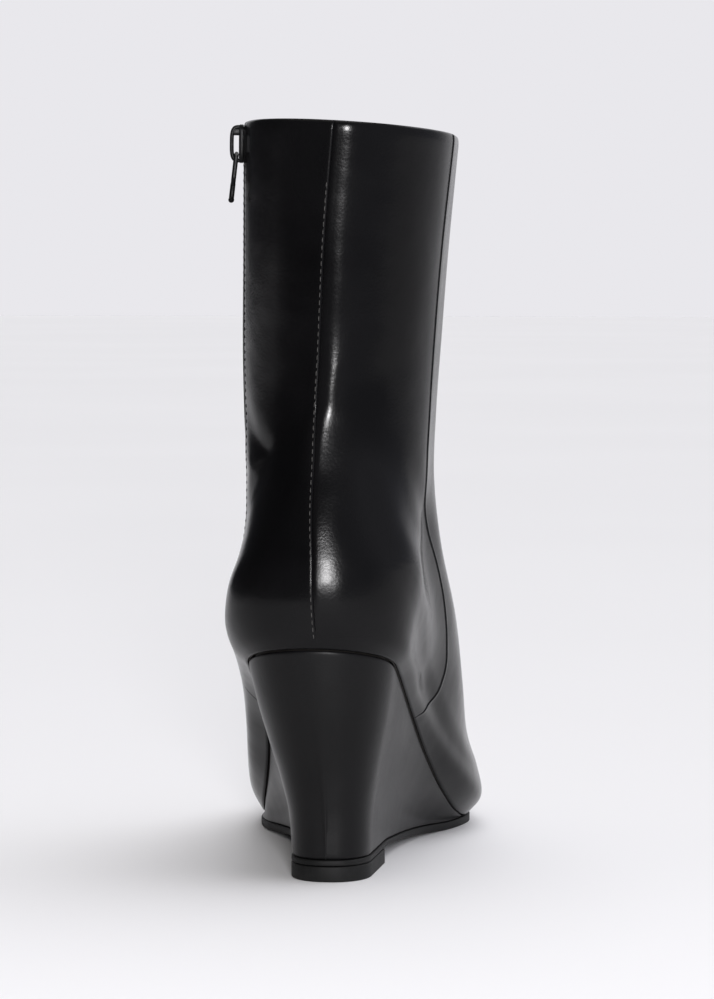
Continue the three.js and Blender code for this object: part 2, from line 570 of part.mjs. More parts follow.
// Wedge: its top follows the upper's edge and its base the outsole, and its sides flare between the two.
const WEDGE_TURN_STEPS = 10;
const WEDGE_RUN_STEPS = 14;
const WEDGE_LEVELS = 8;
function wedgeGeometry() {
  const pairs = [];
  for (let i = 0; i < WEDGE_TURN_STEPS; i += 1) {
    const turn = 1 - Math.cos(((i / WEDGE_TURN_STEPS) * Math.PI) / 2);
    pairs.push([lerp(EDGE.back + WEDGE_INSET, EDGE.rearAt, turn), lerp(BASE_BACK, BASE_ROUND_END, turn)]);
  }
  for (let i = 0; i <= WEDGE_RUN_STEPS; i += 1) {
    const run = i / WEDGE_RUN_STEPS;
    pairs.push([lerp(EDGE.rearAt, wedgeFront, run), lerp(BASE_ROUND_END, wedgeFront, run)]);
  }
  const BASE_INSET = 0.35;
  const topLines = edgeOutline(pairs.map((pair) => pair[0]), WEDGE_INSET);
  const baseLines = soleOutline(pairs.map((pair) => pair[1]), BASE_INSET);
  const points = [];
  const count = pairs.length;
  for (let k = 0; k <= WEDGE_LEVELS; k += 1) {
    const share = k / WEDGE_LEVELS;
    const out = along(FLARE_LINE, "out", share);
    for (const side of [0, 1]) {
      for (let i = 0; i < count; i += 1) {
        const top = topLines[side][i];
        const base = baseLines[side][i];
        const z = lerp(topOfSole(base.y) + GAP, edgeHeight(top.y) - GAP, share);
        points.push(point(lerp(base.x, top.x, out), lerp(base.y, top.y, out), z));
      }
    }
  }
  const at = (k, side, i) => (k * 2 + side) * count + i;
  const faces = [];
  for (let i = 0; i < count - 1; i += 1) {
    for (let k = 0; k < WEDGE_LEVELS; k += 1) {
      faces.push([at(k, 0, i), at(k, 0, i + 1), at(k + 1, 0, i + 1), at(k + 1, 0, i)]);
      faces.push([at(k, 1, i), at(k + 1, 1, i), at(k + 1, 1, i + 1), at(k, 1, i + 1)]);
    }
    faces.push([at(0, 0, i), at(0, 1, i), at(0, 1, i + 1), at(0, 0, i + 1)]);
    faces.push([at(WEDGE_LEVELS, 0, i), at(WEDGE_LEVELS, 0, i + 1), at(WEDGE_LEVELS, 1, i + 1), at(WEDGE_LEVELS, 1, i)]);
  }
  for (let k = 0; k < WEDGE_LEVELS; k += 1) {
    const end = count - 1;
    faces.push([at(k, 0, 0), at(k + 1, 0, 0), at(k + 1, 1, 0), at(k, 1, 0)]);
    faces.push([at(k, 0, end), at(k, 1, end), at(k + 1, 1, end), at(k + 1, 0, end)]);
  }
  return geometryOf(points, faces);
}

// Zip tape: a strip behind the slot. Zip chain: the closed teeth, which fill the slot.
const TAPE_TOP_DROP = 1.5;
const TAPE_BELOW = 9; // of the tape past the slot's lower end
const TAPE_EASE = 0.15; // more room behind the wall, whose flat faces bend round the ankle
const STRIP_ROWS = 26;
const TAPE_COLUMNS = 9;
const CHAIN_COLUMNS = 3;
const CHAIN_TOP_DROP = 3;
function zipTapeGeometry() {
  const outside = WALL + GAP + TAPE_EASE;
  const levels = stripLevels(ZIP_LENGTH + TAPE_BELOW, TAPE_TOP_DROP, STRIP_ROWS);
  const rounds = (level) => stripRounds(level, ZIP_TAPE_WIDTH, TAPE_COLUMNS);
  return wallPatch(levels, rounds, outside, outside + ZIP_TAPE_THICKNESS, false);
}

function zipChainGeometry() {
  const levels = stripLevels(ZIP_LENGTH - GAP * 3, CHAIN_TOP_DROP, STRIP_ROWS);
  return wallPatch(levels, (level) => stripRounds(level, ZIP_SLOT_WIDTH - 2 * GAP, CHAIN_COLUMNS), 0, WALL, false);
}

// The slider's own frame: x across the zip, y up along it and z out of the leather, from the chain's face.
const SLIDER_DROP = 8; // its middle, below the collar
function sliderFrame() {
  const level = zipLevel(SLIDER_DROP);
  const place = facePoint(level, zipRound(level));
  const aheadLevel = zipLevel(SLIDER_DROP - SLIDER_LENGTH * 0.3);
  const ahead = facePoint(aheadLevel, zipRound(aheadLevel));
  const out = faceNormal(level, zipRound(level));
  const up = ahead.sub(place).normalize();
  const across = up.clone().cross(out).normalize();
  return new THREE.Matrix4().makeBasis(across, out.clone().cross(across).normalize(), out).setPosition(place);
}

const STAND_OFF = 0.45; // of the slider's plate from the leather, which curves away under it
const PLATE_TOP = STAND_OFF + SLIDER_PLATE;
const PLATE_CORNER = 1.1; // radius
const HINGE_HEIGHT = PLATE_TOP + GAP + PULL_WIRE / 2;
const BRIDGE_INSIDE = PULL_WIRE + 2 * GAP; // height of the room under the bridge
const BRIDGE_REACH = SLIDER_LENGTH * 0.46; // half its length along the zip
const BRIDGE_CORNER = 0.7; // the curve in the bridge's corner, which the pull's bar keeps clear of
const BRIDGE_SINK = 0.4; // of the bridge's feet into the plate
const SLIDER_TAPER = 0.82; // the plate's lower end, of its width
// The bend of the bridge's two faces: how high a corner's pull reaches, how far out, and where the flat crown starts
const BRIDGE_BEND = {
  outside: { high: 0.8, out: 0.75, flat: 0.35 },
  inside: { high: 0.85, out: 0.8, flat: 0.45 },
};
const HINGE_DROP = BRIDGE_REACH - BRIDGE_METAL - BRIDGE_CORNER - GAP - PULL_WIRE / 2; // near the bridge's lower end

function roundedPlate(width, topWidth, length, thickness) {
  const [a, b, h, r] = [width / 2, topWidth / 2, length / 2, PLATE_CORNER];
  const shape = new THREE.Shape();
  shape.moveTo(-a + r, -h);
  shape.lineTo(a - r, -h);
  shape.quadraticCurveTo(a, -h, a, -h + r);
  shape.lineTo(b, h - r);
  shape.quadraticCurveTo(b, h, b - r, h);
  shape.lineTo(-b + r, h);
  shape.quadraticCurveTo(-b, h, -b, h - r);
  shape.lineTo(-a, -h + r);
  shape.quadraticCurveTo(-a, -h, -a + r, -h);
  return new THREE.ExtrudeGeometry(shape, { depth: thickness, bevelEnabled: false, curveSegments: 3 });
}

function sliderGeometry() {
  const plate = roundedPlate(SLIDER_WIDTH * SLIDER_TAPER, SLIDER_WIDTH, SLIDER_LENGTH, SLIDER_PLATE);
  plate.translate(0, 0, STAND_OFF);
  const arch = new THREE.Shape();
  const inside = BRIDGE_REACH - BRIDGE_METAL;
  const crown = BRIDGE_INSIDE + BRIDGE_METAL;
  const archFace = (reach, top, bend, sign) => {
    const [x, high, out, flat] = [reach * sign, top * bend.high, reach * bend.out * sign, reach * bend.flat * sign];
    arch.lineTo(x, -BRIDGE_SINK);
    arch.bezierCurveTo(x, high, out, top, flat, top);
    arch.lineTo(-flat, top);
    arch.bezierCurveTo(-out, top, -x, high, -x, -BRIDGE_SINK);
  };
  arch.moveTo(BRIDGE_REACH, -BRIDGE_SINK);
  archFace(BRIDGE_REACH, crown, BRIDGE_BEND.outside, 1);
  archFace(inside, BRIDGE_INSIDE, BRIDGE_BEND.inside, -1);
  arch.closePath();
  const bridge = new THREE.ExtrudeGeometry(arch, { depth: BRIDGE_WIDTH, bevelEnabled: false, curveSegments: 6 });
  // The arch is drawn along x and out along y: this turns it to run along the zip and stand on the plate.
  bridge.applyMatrix4(new THREE.Matrix4().makeBasis(point(0, 1, 0), point(0, 0, 1), point(1, 0, 0)));
  bridge.translate(-BRIDGE_WIDTH / 2, 0, PLATE_TOP);
  return geometryOfSolid(solidOf(plate).add(solidOf(bridge)));
}

// Pull: a round bar in the bridge, two arms beside the bridge, and a slim tab with a thicker tip.
const PULL_WINDOW_LENGTH = BRIDGE_REACH + HINGE_DROP + 2 * GAP; // it clears the bridge when the pull is flipped up
const PULL_ARM = 1.1;
const PULL_PLAY = 0.6; // beside the bridge, on each side
const PULL_WINDOW_WIDTH = BRIDGE_WIDTH + 2 * PULL_PLAY;
const PULL_TAB_WIDTH = 3.4;
const PULL_TIP_WIDTH = 4.8;
const PULL_TIP_THICKNESS = 2.2;
function pullGeometry() {
  const eyeHalf = PULL_WINDOW_WIDTH / 2 + PULL_ARM;
  const tabHalf = PULL_TAB_WIDTH / 2;
  const shoulder = -PULL_WINDOW_LENGTH - PULL_ARM;
  const tipMiddle = -PULL_LENGTH + PULL_TIP_THICKNESS / 2;
  const outline = new THREE.Shape();
  outline.moveTo(-eyeHalf, 0);
  outline.lineTo(-eyeHalf, -PULL_WINDOW_LENGTH + PULL_ARM / 2);
  outline.quadraticCurveTo(-eyeHalf, shoulder, -tabHalf, shoulder - PULL_ARM);
  outline.lineTo(-tabHalf, tipMiddle);
  outline.lineTo(tabHalf, tipMiddle);
  outline.lineTo(tabHalf, shoulder - PULL_ARM);
  outline.quadraticCurveTo(eyeHalf, shoulder, eyeHalf, -PULL_WINDOW_LENGTH + PULL_ARM / 2);
  outline.lineTo(eyeHalf, 0);
  outline.closePath();
  const window = new THREE.Path();
  const hole = PULL_WINDOW_WIDTH / 2;
  window.moveTo(-hole, -PULL_WIRE / 4);
  window.lineTo(hole, -PULL_WIRE / 4);
  window.lineTo(hole, -PULL_WINDOW_LENGTH);
  window.lineTo(-hole, -PULL_WINDOW_LENGTH);
  window.closePath();
  outline.holes.push(window);
  const tab = new THREE.ExtrudeGeometry(outline, { depth: PULL_WIRE, bevelEnabled: false, curveSegments: 4 });
  tab.translate(0, 0, -PULL_WIRE / 2);
  const bar = new THREE.CylinderGeometry(PULL_WIRE / 2, PULL_WIRE / 2, eyeHalf * 2, 16);
  bar.rotateZ(Math.PI / 2);
  const tip = new THREE.CapsuleGeometry(PULL_TIP_THICKNESS / 2, PULL_TIP_WIDTH - PULL_TIP_THICKNESS, 4, 12);
  tip.rotateZ(Math.PI / 2);
  tip.translate(0, tipMiddle, 0);
  return geometryOfSolid(solidOf(tab).add(solidOf(bar)).add(solidOf(tip)));
}

// Finishes
const leather = new THREE.MeshStandardMaterial({ color: 0x141414, roughness: 0.32, metalness: 0 });
const heelLeather = new THREE.MeshStandardMaterial({ color: 0x181817, roughness: 0.42, metalness: 0 });
const soleRubber = new THREE.MeshStandardMaterial({ color: 0x0d0d0d, roughness: 0.62, metalness: 0 });
const sockLeather = new THREE.MeshStandardMaterial({ color: 0x2a2724, roughness: 0.7, metalness: 0 });
const zipFabric = new THREE.MeshStandardMaterial({ color: 0x0e0e0f, roughness: 0.85, metalness: 0 });
const zipMetal = new THREE.MeshStandardMaterial({ color: 0x1b1b1d, roughness: 0.3, metalness: 0.9 });

function mesh(name, geometry, material) {
  const made = new THREE.Mesh(geometry, material);
  made.name = name;
  return made;
}

const boot = new THREE.Group();
boot.add(mesh("upper", upperGeometry(), leather));
boot.add(mesh("insole", insoleGeometry(), sockLeather));
boot.add(mesh("wedge", wedgeGeometry(), heelLeather));
boot.add(mesh("outsole", outsoleGeometry(), soleRubber));
boot.add(mesh("top_lift", topLiftGeometry(), soleRubber));
boot.add(mesh("zip_tape", zipTapeGeometry(), zipFabric));
boot.add(mesh("zip_chain", zipChainGeometry(), zipMetal));

const slider = new THREE.Group();
slider.applyMatrix4(sliderFrame());
slider.add(mesh("zip_slider", sliderGeometry(), zipMetal));
const pull = mesh("zip_pull", pullGeometry(), zipMetal);
pull.position.set(0, -HINGE_DROP, HINGE_HEIGHT);
pull.rotation.x = -THREE.MathUtils.degToRad(PULL_LEAN);
slider.add(pull);
boot.add(slider);

// The origin goes to the middle of the boot's box, on the floor.
boot.updateMatrixWorld(true);
const box = new THREE.Box3().setFromObject(boot, true);
boot.position.set(-(box.min.x + box.max.x) / 2, -(box.min.y + box.max.y) / 2, -box.min.z);
boot.updateMatrixWorld(true);

export default boot;
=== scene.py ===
"""A right ankle boot in smooth black leather on a covered wedge heel, with a zip on its inner side.

Lengths inside the shape functions are millimetres in the last's own frame: x = 0 is the middle of the heel,
y = 0 the back of the upper's lower edge and z = 0 the floor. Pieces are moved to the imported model's frame
and to metres when their meshes are made.
"""

import math

import bpy
import numpy as np
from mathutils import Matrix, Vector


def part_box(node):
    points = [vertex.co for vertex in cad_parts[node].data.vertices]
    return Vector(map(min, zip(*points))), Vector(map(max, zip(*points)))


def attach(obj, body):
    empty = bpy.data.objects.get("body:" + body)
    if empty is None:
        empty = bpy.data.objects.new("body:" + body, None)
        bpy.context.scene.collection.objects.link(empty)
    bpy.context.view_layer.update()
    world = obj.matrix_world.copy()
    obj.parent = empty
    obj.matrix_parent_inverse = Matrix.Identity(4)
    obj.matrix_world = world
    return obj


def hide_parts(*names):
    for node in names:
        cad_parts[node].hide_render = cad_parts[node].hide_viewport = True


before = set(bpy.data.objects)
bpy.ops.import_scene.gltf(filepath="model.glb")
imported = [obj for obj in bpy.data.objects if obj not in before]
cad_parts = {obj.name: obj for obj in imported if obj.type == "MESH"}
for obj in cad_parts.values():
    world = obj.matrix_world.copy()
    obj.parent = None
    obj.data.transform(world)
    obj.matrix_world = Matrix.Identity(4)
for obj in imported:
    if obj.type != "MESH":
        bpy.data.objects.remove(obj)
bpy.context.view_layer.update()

bl_info = {
    "name": "Wedge Ankle Boot",
    "version": (1, 0, 0),
    "blender": (4, 5, 0),
    "location": "3D View > Sidebar > Boot",
    "description": "Builds a leather ankle boot with a covered wedge heel and an inner zip",
    "category": "Add Mesh",
}

# Sizes of the last and its pieces, as in the solid model
SHOE_LENGTH, BALL_WIDTH, HEEL_WIDTH, HEEL_HEIGHT = 232.0, 90.0, 66.0, 85.5
TOE_SPRING, TOE_SWING, SWING_START = 5.5, 5.0, 0.58
SHAFT_HEIGHT, COLLAR_WIDTH, COLLAR_DEPTH = 188.0, 77.4, 99.0
COLLAR_DIP, COLLAR_TILT, TILT_START, SHAFT_LEAN = 3.5, 4.5, 8.0, 7.2
GAP, WALL, SOLE_THICKNESS, SOLE_MARGIN = 0.3, 1.8, 3.2, 1.1
INSOLE_THICKNESS, INSOLE_MARGIN, WEDGE_INSET, WEDGE_END = 2.6, 1.2, 0.9, 0.655
BASE_WIDTH, BASE_SHIFT, BASE_BACK, BASE_LENGTH = 29.0, 3.0, 10.5, 46.0
BASE_ROUND, BASE_SPREAD, BASE_CORNER, BASE_INSET = 0.36, 0.06, 2.3, 0.35
TOP_LIFT_HEIGHT = 5.6
ZIP_SLOT_WIDTH, ZIP_TAPE_WIDTH, ZIP_TAPE_THICKNESS, ZIP_LENGTH = 5.0, 22.0, 0.9, 158.0
TAPE_EASE = 0.15
SLIDER_LENGTH, SLIDER_WIDTH, SLIDER_PLATE, SLIDER_DROP = 14.0, 7.2, 1.6, 8.0
BRIDGE_WIDTH, BRIDGE_METAL, BRIDGE_CORNER, STAND_OFF = 2.0, 1.1, 0.7, 0.45
PULL_LENGTH, PULL_WIRE, PULL_ARM = 18.0, 1.4, 1.1
PULL_TAB_WIDTH, PULL_TIP_WIDTH, PULL_TIP_THICKNESS = 3.4, 4.8, 2.2
PULL_TAB_HALF, PULL_ARM_HALF, BRIDGE_WEIGHT = 0.95, 0.85, 1.35
PULL_LEAN, PULL_PLAY = 6.0, 0.6
FOREFOOT_EDGE = SOLE_THICKNESS + GAP
COLLAR = 11

# The upper's sections from the sole's edge to the collar, in shares of the sizes above: lines, then widths
LINE_COLUMNS = "leg back rise front climb sag lean"
LINE_ROWS = (
    (0, 0, 0, 1, 0, 1, 0),
    (0, -0.016, 0.032, 1.004, 0.027, 0.95, 0),
    (0, -0.026, 0.075, 0.972, 0.063, 0.84, 0),
    (0, -0.028, 0.12, 0.88, 0.107, 0.66, 0.04),
    (0.15, -0.025, 0.168, 0.828, 0.176, 0.44, 0.12),
    (0.4, -0.018, 0.221, 0.828, 0.272, 0.22, 0.21),
    (0.7, -0.002, 0.285, 0.888, 0.376, 0.07, 0.29),
    (1, 0.036, 0.364, 1.08, 0.487, 0, 0.36),
    (1, 0.061, 0.46, 1, 0.598, 0, 0.4),
    (1, 0.061, 0.588, 0.98, 0.705, 0, 0.48),
    (1, 0.038, 0.769, 0.99, 0.839, 0, 0.66),
    (1, 0.01, 1, 1.01, 1, 0, 1),
)
WIDTH_COLUMNS = (
    "rear_at rear_out rear_in fore_at_out fore_at_in fore_out"
    " fore_in waist_out waist_in back_round toe_round toe_point"
)
WIDTH_ROWS = (
    (0.116, 0.41, 0.43, 0.7, 0.68, 0.43, 0.465, 0.03, 0.045, 2.1, 1.75, 1.9),
    (0.13, 0.47, 0.505, 0.66, 0.68, 0.5, 0.508, 0.06, 0.015, 2.1, 1.8, 1.9),
    (0.138, 0.49, 0.54, 0.665, 0.685, 0.486, 0.507, 0.052, 0.02, 2.1, 1.85, 1.9),
    (0.154, 0.495, 0.545, 0.655, 0.695, 0.453, 0.475, 0.015, 0.025, 2.1, 1.95, 1.9),
    (0.185, 0.48, 0.525, 0.625, 0.67, 0.462, 0.453, 0.005, 0.015, 2.1, 2, 1.9),
    (0.245, 0.455, 0.475, 0.59, 0.615, 0.466, 0.43, 0, 0.006, 2, 2, 1.9),
    (0.325, 0.436, 0.43, 0.54, 0.555, 0.444, 0.422, 0, 0, 2, 2, 1.95),
    (0.39, 0.426, 0.418, 0.565, 0.565, 0.434, 0.424, 0, 0, 2, 2, 2),
    (0.44, 0.44, 0.441, 0.57, 0.57, 0.442, 0.443, 0, 0, 2, 2, 2),
    (0.46, 0.456, 0.46, 0.57, 0.57, 0.457, 0.46, 0, 0, 2, 2, 2),
    (0.47, 0.475, 0.474, 0.565, 0.565, 0.476, 0.475, 0, 0, 2, 2, 2),
    (0.48, 0.5, 0.5, 0.56, 0.56, 0.5, 0.502, 0, 0, 2, 2, 2),
)
# The bend of the sole: place along the foot, share of the heel's rise, share of the toe spring
SOLE_LINE = np.array((
    (0.0, 1.0, 0.0), (0.086, 0.927, 0.0), (0.194, 0.787, 0.0), (0.302, 0.61, 0.0), (0.409, 0.396, 0.0),
    (0.517, 0.183, 0.0), (0.603, 0.058, 0.0), (0.668, 0.01, 0.0), (0.7, 0.003, 0.0), (0.75, 0.0, 0.03),
    (0.845, 0.0, 0.2), (0.931, 0.0, 0.53), (1.0, 0.0, 1.0),
))
# The outsole: place, rise of its underside, thickness, spread of its outer and inner side
ARCH_LINE = np.array((
    (0.0, 1.0, 0.62, 0.0, 0.0), (0.245, 1.0, 0.64, 0.02, 0.06), (0.345, 0.76, 0.72, 0.12, 0.27),
    (0.431, 0.5, 0.84, 0.23, 0.52), (0.517, 0.24, 0.94, 0.39, 0.78), (0.57, 0.09, 1.0, 0.55, 0.91),
    (0.62, 0.0, 1.0, 0.73, 0.97), (0.668, 0.0, 1.0, 0.88, 1.0), (0.74, 0.0, 1.0, 1.0, 1.0),
    (1.0, 0.0, 1.0, 1.0, 1.0),
))
# The wedge's side: share of its height, how far it has flared out
FLARE_LINE = np.array(((0.0, 0.0), (0.2, 0.07), (0.4, 0.27), (0.6, 0.54), (0.8, 0.8), (1.0, 1.0)))
# The zip's line: share of the way up the sections, and turn
ZIP_LINE = np.array((
    (0.0, -0.3), (0.41, -0.304), (0.5, -0.334), (0.545, -0.35), (0.591, -0.364), (0.636, -0.375),
    (0.727, -0.386),
    (0.818, -0.393), (1.0, -0.4075),
))
# The seams, each as level and turn round the upper
BACK_SEAM = np.array((
    (0.0, 0.005), (2.0, 0.003), (4.0, -0.002), (6.5, -0.017), (7.9, -0.02), (8.8, -0.015), (9.7, -0.011),
    (10.2, -0.008), (11.0, 0.001),
))
SIDE_SEAM = np.array((
    (0.0, 0.327), (0.6, 0.344), (1.5, 0.377), (2.25, 0.415), (2.75, 0.441), (3.2, 0.464), (3.6, 0.485),
    (3.95, 0.496),
    (4.35, 0.498), (4.85, 0.489), (5.2, 0.475), (5.55, 0.456), (6.0, 0.425), (6.6, 0.4), (7.3, 0.405),
    (8.0, 0.42),
    (8.6, 0.425), (9.3, 0.427), (10.0, 0.428), (11.0, 0.44),
))
# The crest down the back: level, then how far it stands out and lies to the seam's outer side, in mm
BACK_RIDGE = np.array((
    (0.0, 0.0, 1.5), (4.0, 0.2, 1.5), (5.5, 0.6, 1.3), (6.4, 1.1, 1.2), (7.0, 2.1, 1.3), (7.6, 2.5, 2.2),
    (8.2, 2.4, 4.1), (9.0, 1.6, 4.4), (9.7, 1.3, 4.8), (10.5, 1.1, 5.2), (11.0, 0.9, 5.4),
))
CREST_ROUND, CREST_REACH, CREST_HOLLOW, CREST_HOLLOW_WIDTH = 1.6, 9.0, 0.45, 22.0
# Beside each seam, and beside the zip's slot: height of a bell, its distance from the line and its width
BACK_BELLS = ((-0.3, 0.0, 0.22), (0.1, 1.3, 1.0))
SIDE_BELLS = ((0.14, 0.55, 0.42), (-0.05, -0.35, 0.3))
ZIP_BELLS = ((0.5, 0.0, 4.0), (-0.18, 2.3, 0.45))
SIDE_STEP, SIDE_STEP_REACH = 0.24, 16.0
# Slow waves of the leather: height, waves round the boot, waves for each level, start
LONG_WAVE, SHORT_WAVE = (0.22, 1.5, 0.11, 0.0), (0.14, 2.6, -0.17, 0.3)
WAVE_SWELL, WAVE_SWELL_START = 0.9, 1.3
COLLAR_ROLL, COLLAR_ROLL_DEPTH, LEVEL_LENGTH = 0.9, 4.0, 43.0
ZIP_FADE, EDGE_CALM, CALM_END = 4.0, 0.3, 1.6
FOLD_START, FOLD_END = (0.2, 1.2), (10.3, 10.95)
# Soft folds: width and height in mm (troughs below zero), then level and turn of each point
FOLDS = (
    (7.0, -0.3, ((7.75, -0.05), (7.95, 0.02), (8.1, 0.06), (8.34, 0.13), (8.62, 0.22), (8.8, 0.31))),
    (4.5, -0.2, ((8.15, -0.1), (8.05, -0.03), (7.8, 0.03))),
    (5.0, -0.9, ((8.1, -0.36), (7.6, -0.27), (7.14, -0.19), (6.6, -0.21), (6.05, -0.3))),
    (5.0, 0.6, ((7.4, -0.36), (6.9, -0.28), (6.3, -0.3))),
    (10.5, 2.3, (
        (7.4, 0.07), (6.9, 0.11), (6.5, 0.138), (6.0, 0.152), (5.4, 0.165), (4.9, 0.195),
        (4.5, 0.24), (4.1, 0.285), (3.6, 0.325), (3.0, 0.345), (2.3, 0.35),
    )),
    (6.0, -0.7, ((7.1, 0.26), (6.6, 0.33), (6.1, 0.39), (5.7, 0.46))),
    (5.0, -1.1, ((7.3, 0.62), (6.95, 0.8), (6.85, 1.0), (6.95, 1.2), (7.3, 1.38))),
    (4.5, -0.8, ((6.6, 0.66), (6.25, 0.82), (6.15, 1.0), (6.25, 1.18), (6.6, 1.34))),
    (6.0, 0.6, ((6.95, 0.68), (6.6, 0.84), (6.5, 1.0), (6.6, 1.17), (6.95, 1.32))),
    (5.0, -0.6, ((7.9, 0.74), (7.65, 0.9), (7.6, 1.05), (7.75, 1.2))),
    (4.0, -0.45, ((4.3, 0.8), (3.9, 0.9), (3.8, 1.0), (3.9, 1.1), (4.3, 1.2))),
)


def lerp(a, b, share):
    """The value at a share of the way from a to b."""
    return a + (b - a) * share


def ease(value, low, high):
    """0 below low, 1 above high and a smooth cubic step between them."""
    t = np.clip((value - low) / (high - low), 0, 1)
    return t * t * (3 - 2 * t)


def along(table, column, at):
    """A smooth line over a table's first column: a cubic between rows, whose slope at each row is the
    harmonic mean of the slopes beside it, so that it never swings past them."""
    x, y = table[:, 0], table[:, column]
    slope = np.diff(y) / np.diff(x)
    before, after = slope[:-1], slope[1:]
    same_way = before * after > 0
    inner = np.where(same_way, 2 * before * after / np.where(same_way, before + after, 1), 0)
    tangent = np.concatenate([slope[:1], inner, slope[-1:]])
    place = np.clip(at, x[0], x[-1])
    i = np.clip(np.searchsorted(x, place) - 1, 0, len(x) - 2)
    width = x[i + 1] - x[i]
    s = (place - x[i]) / width
    start = (1 + 2 * s) * (1 - s) ** 2 * y[i] + s * (1 - s) ** 2 * width * tangent[i]
    return start + s * s * (3 - 2 * s) * y[i + 1] + s * s * (s - 1) * width * tangent[i + 1]


def edge_height(y):
    """Height of the upper's lower edge: the forefoot's edge, plus the heel's and the toe's shares of the
    sole's line."""
    at = y / SHOE_LENGTH
    rise = along(SOLE_LINE, 1, at) * (HEEL_HEIGHT - FOREFOOT_EDGE)
    return FOREFOOT_EDGE + rise + along(SOLE_LINE, 2, at) * TOE_SPRING


def swing(y):
    """How far the foot curves to the inner side: the square of the way from the ball to the toe."""
    return -TOE_SWING * np.clip((y / SHOE_LENGTH - SWING_START) / (1 - SWING_START), 0, 1.1) ** 2


def last_sizes():
    """The section table in millimetres, each column with one more row at both ends in a straight line."""
    row = dict(zip(LINE_COLUMNS.split(), np.array(LINE_ROWS, float).T))
    row.update(zip(WIDTH_COLUMNS.split(), np.array(WIDTH_ROWS, float).T))
    length = lerp(SHOE_LENGTH, COLLAR_DEPTH, row["leg"])
    rear = lerp(HEEL_WIDTH, COLLAR_WIDTH, row["leg"])
    fore = lerp(BALL_WIDTH, COLLAR_WIDTH, row["leg"])
    back, front = row["back"] * length, row["front"] * length
    collar_front = HEEL_HEIGHT + SHAFT_HEIGHT - COLLAR_DIP
    sizes = {name: row[name] for name in ("sag", "back_round", "toe_round", "toe_point")}
    sizes.update(back=back, front=front, back_height=HEEL_HEIGHT + row["rise"] * SHAFT_HEIGHT)
    sizes["front_height"] = lerp(FOREFOOT_EDGE + TOE_SPRING, collar_front, row["climb"])
    sizes["lean"] = row["lean"] * SHAFT_LEAN
    sizes["rear_at"] = lerp(back, front, row["rear_at"])
    for side in ("out", "in"):
        sizes["rear_" + side] = row["rear_" + side] * rear
        sizes["fore_at_" + side] = lerp(back, front, row["fore_at_" + side])
        sizes["fore_" + side] = row["fore_" + side] * fore
        sizes["waist_" + side] = row["waist_" + side] * BALL_WIDTH
    return {name: np.pad(values, 1, mode="reflect", reflect_type="odd") for name, values in sizes.items()}


SIZES = last_sizes()


def section_at(level):
    """Each size of the section at a level, on a cubic through the four rows round it."""
    i = np.clip(np.floor(level).astype(int), 0, COLLAR - 1)
    s = level - i
    found = {}
    for name, rows in SIZES.items():
        p0, p1, p2, p3 = rows[i], rows[i + 1], rows[i + 2], rows[i + 3]
        square = (2 * p0 - 5 * p1 + 4 * p2 - p3) * s**2
        found[name] = 0.5 * (2 * p1 + (p2 - p0) * s + square + (3 * p1 - p0 - 3 * p2 + p3) * s**3)
    return found


def half_width(section, side, y, inset=0.0):
    """Half width of a section at y: a superellipse at the back, a smooth step less a squared sine between
    heel and ball, and a superellipse at the toe."""
    rear_at, fore_at = section["rear_at"], section["fore_at_" + side]
    rear, fore = section["rear_" + side] - inset, section["fore_" + side] - inset
    t = np.clip((rear_at - y) / (rear_at - section["back"] - inset), 0, 1)
    heel = rear * (1 - t**2) ** (1 / section["back_round"])
    t = np.clip((y - rear_at) / (fore_at - rear_at), 0, 1)
    waist = lerp(rear, fore, t * t * (3 - 2 * t)) - section["waist_" + side] * np.sin(np.pi * t) ** 2
    t = np.clip((y - fore_at) / (section["front"] - inset - fore_at), 0, 1)
    toe = fore * (1 - t ** section["toe_round"]) ** (1 / section["toe_point"])
    return np.where(y <= rear_at, heel, np.where(y <= fore_at, waist, toe))


def stations(back, rear_at, fore_at, front, steps):
    """Places along one half of a section, from back to front, closer where it turns: one less a cosine."""
    run = np.arange(steps) / steps
    turn = 1 - np.cos(run * np.pi / 2)
    close = 1 - np.cos((1 - np.arange(steps + 1) / steps) * np.pi / 2)
    parts = [lerp(back, rear_at, turn), lerp(rear_at, fore_at, run), lerp(front, fore_at, close)]
    return np.concatenate(parts, axis=-1)


TRACE_STEPS = 160
LEVEL_FINE = 40
TURN_FINE = 800
SKIN_MARGIN = 2
LEVEL_PROBE, TURN_PROBE = 0.05, 0.004
LEVEL_AT_SOLE = 0.8


def trace_half(level, side):
    """One half of the sections as points, with their distance along it. Height runs from the back's to the
    front's, plus the sole's bend, less the collar's slant."""
    section = section_at(level[:, None])
    back, front = section["back"], section["front"]
    y = stations(back, section["rear_at"], section["fore_at_" + side], front, TRACE_STEPS)
    share = (y - back) / (front - back)
    bend = edge_height(share * SHOE_LENGTH) - lerp(HEEL_HEIGHT, edge_height(SHOE_LENGTH), share)
    tilt = COLLAR_TILT * np.clip((level[:, None] - TILT_START) / (COLLAR - TILT_START), 0, 1.1) ** 2
    x = half_width(section, side, y) * (1 if side == "out" else -1)
    height = lerp(section["back_height"], section["front_height"], share)
    z = height + section["sag"] * bend - tilt * x / COLLAR_WIDTH
    points = np.stack([x + swing(y) + section["lean"], y, z], axis=-1)
    steps = np.linalg.norm(np.diff(points, axis=1), axis=-1)
    return points, np.concatenate([np.zeros((len(level), 1)), np.cumsum(steps, axis=1)], axis=1)


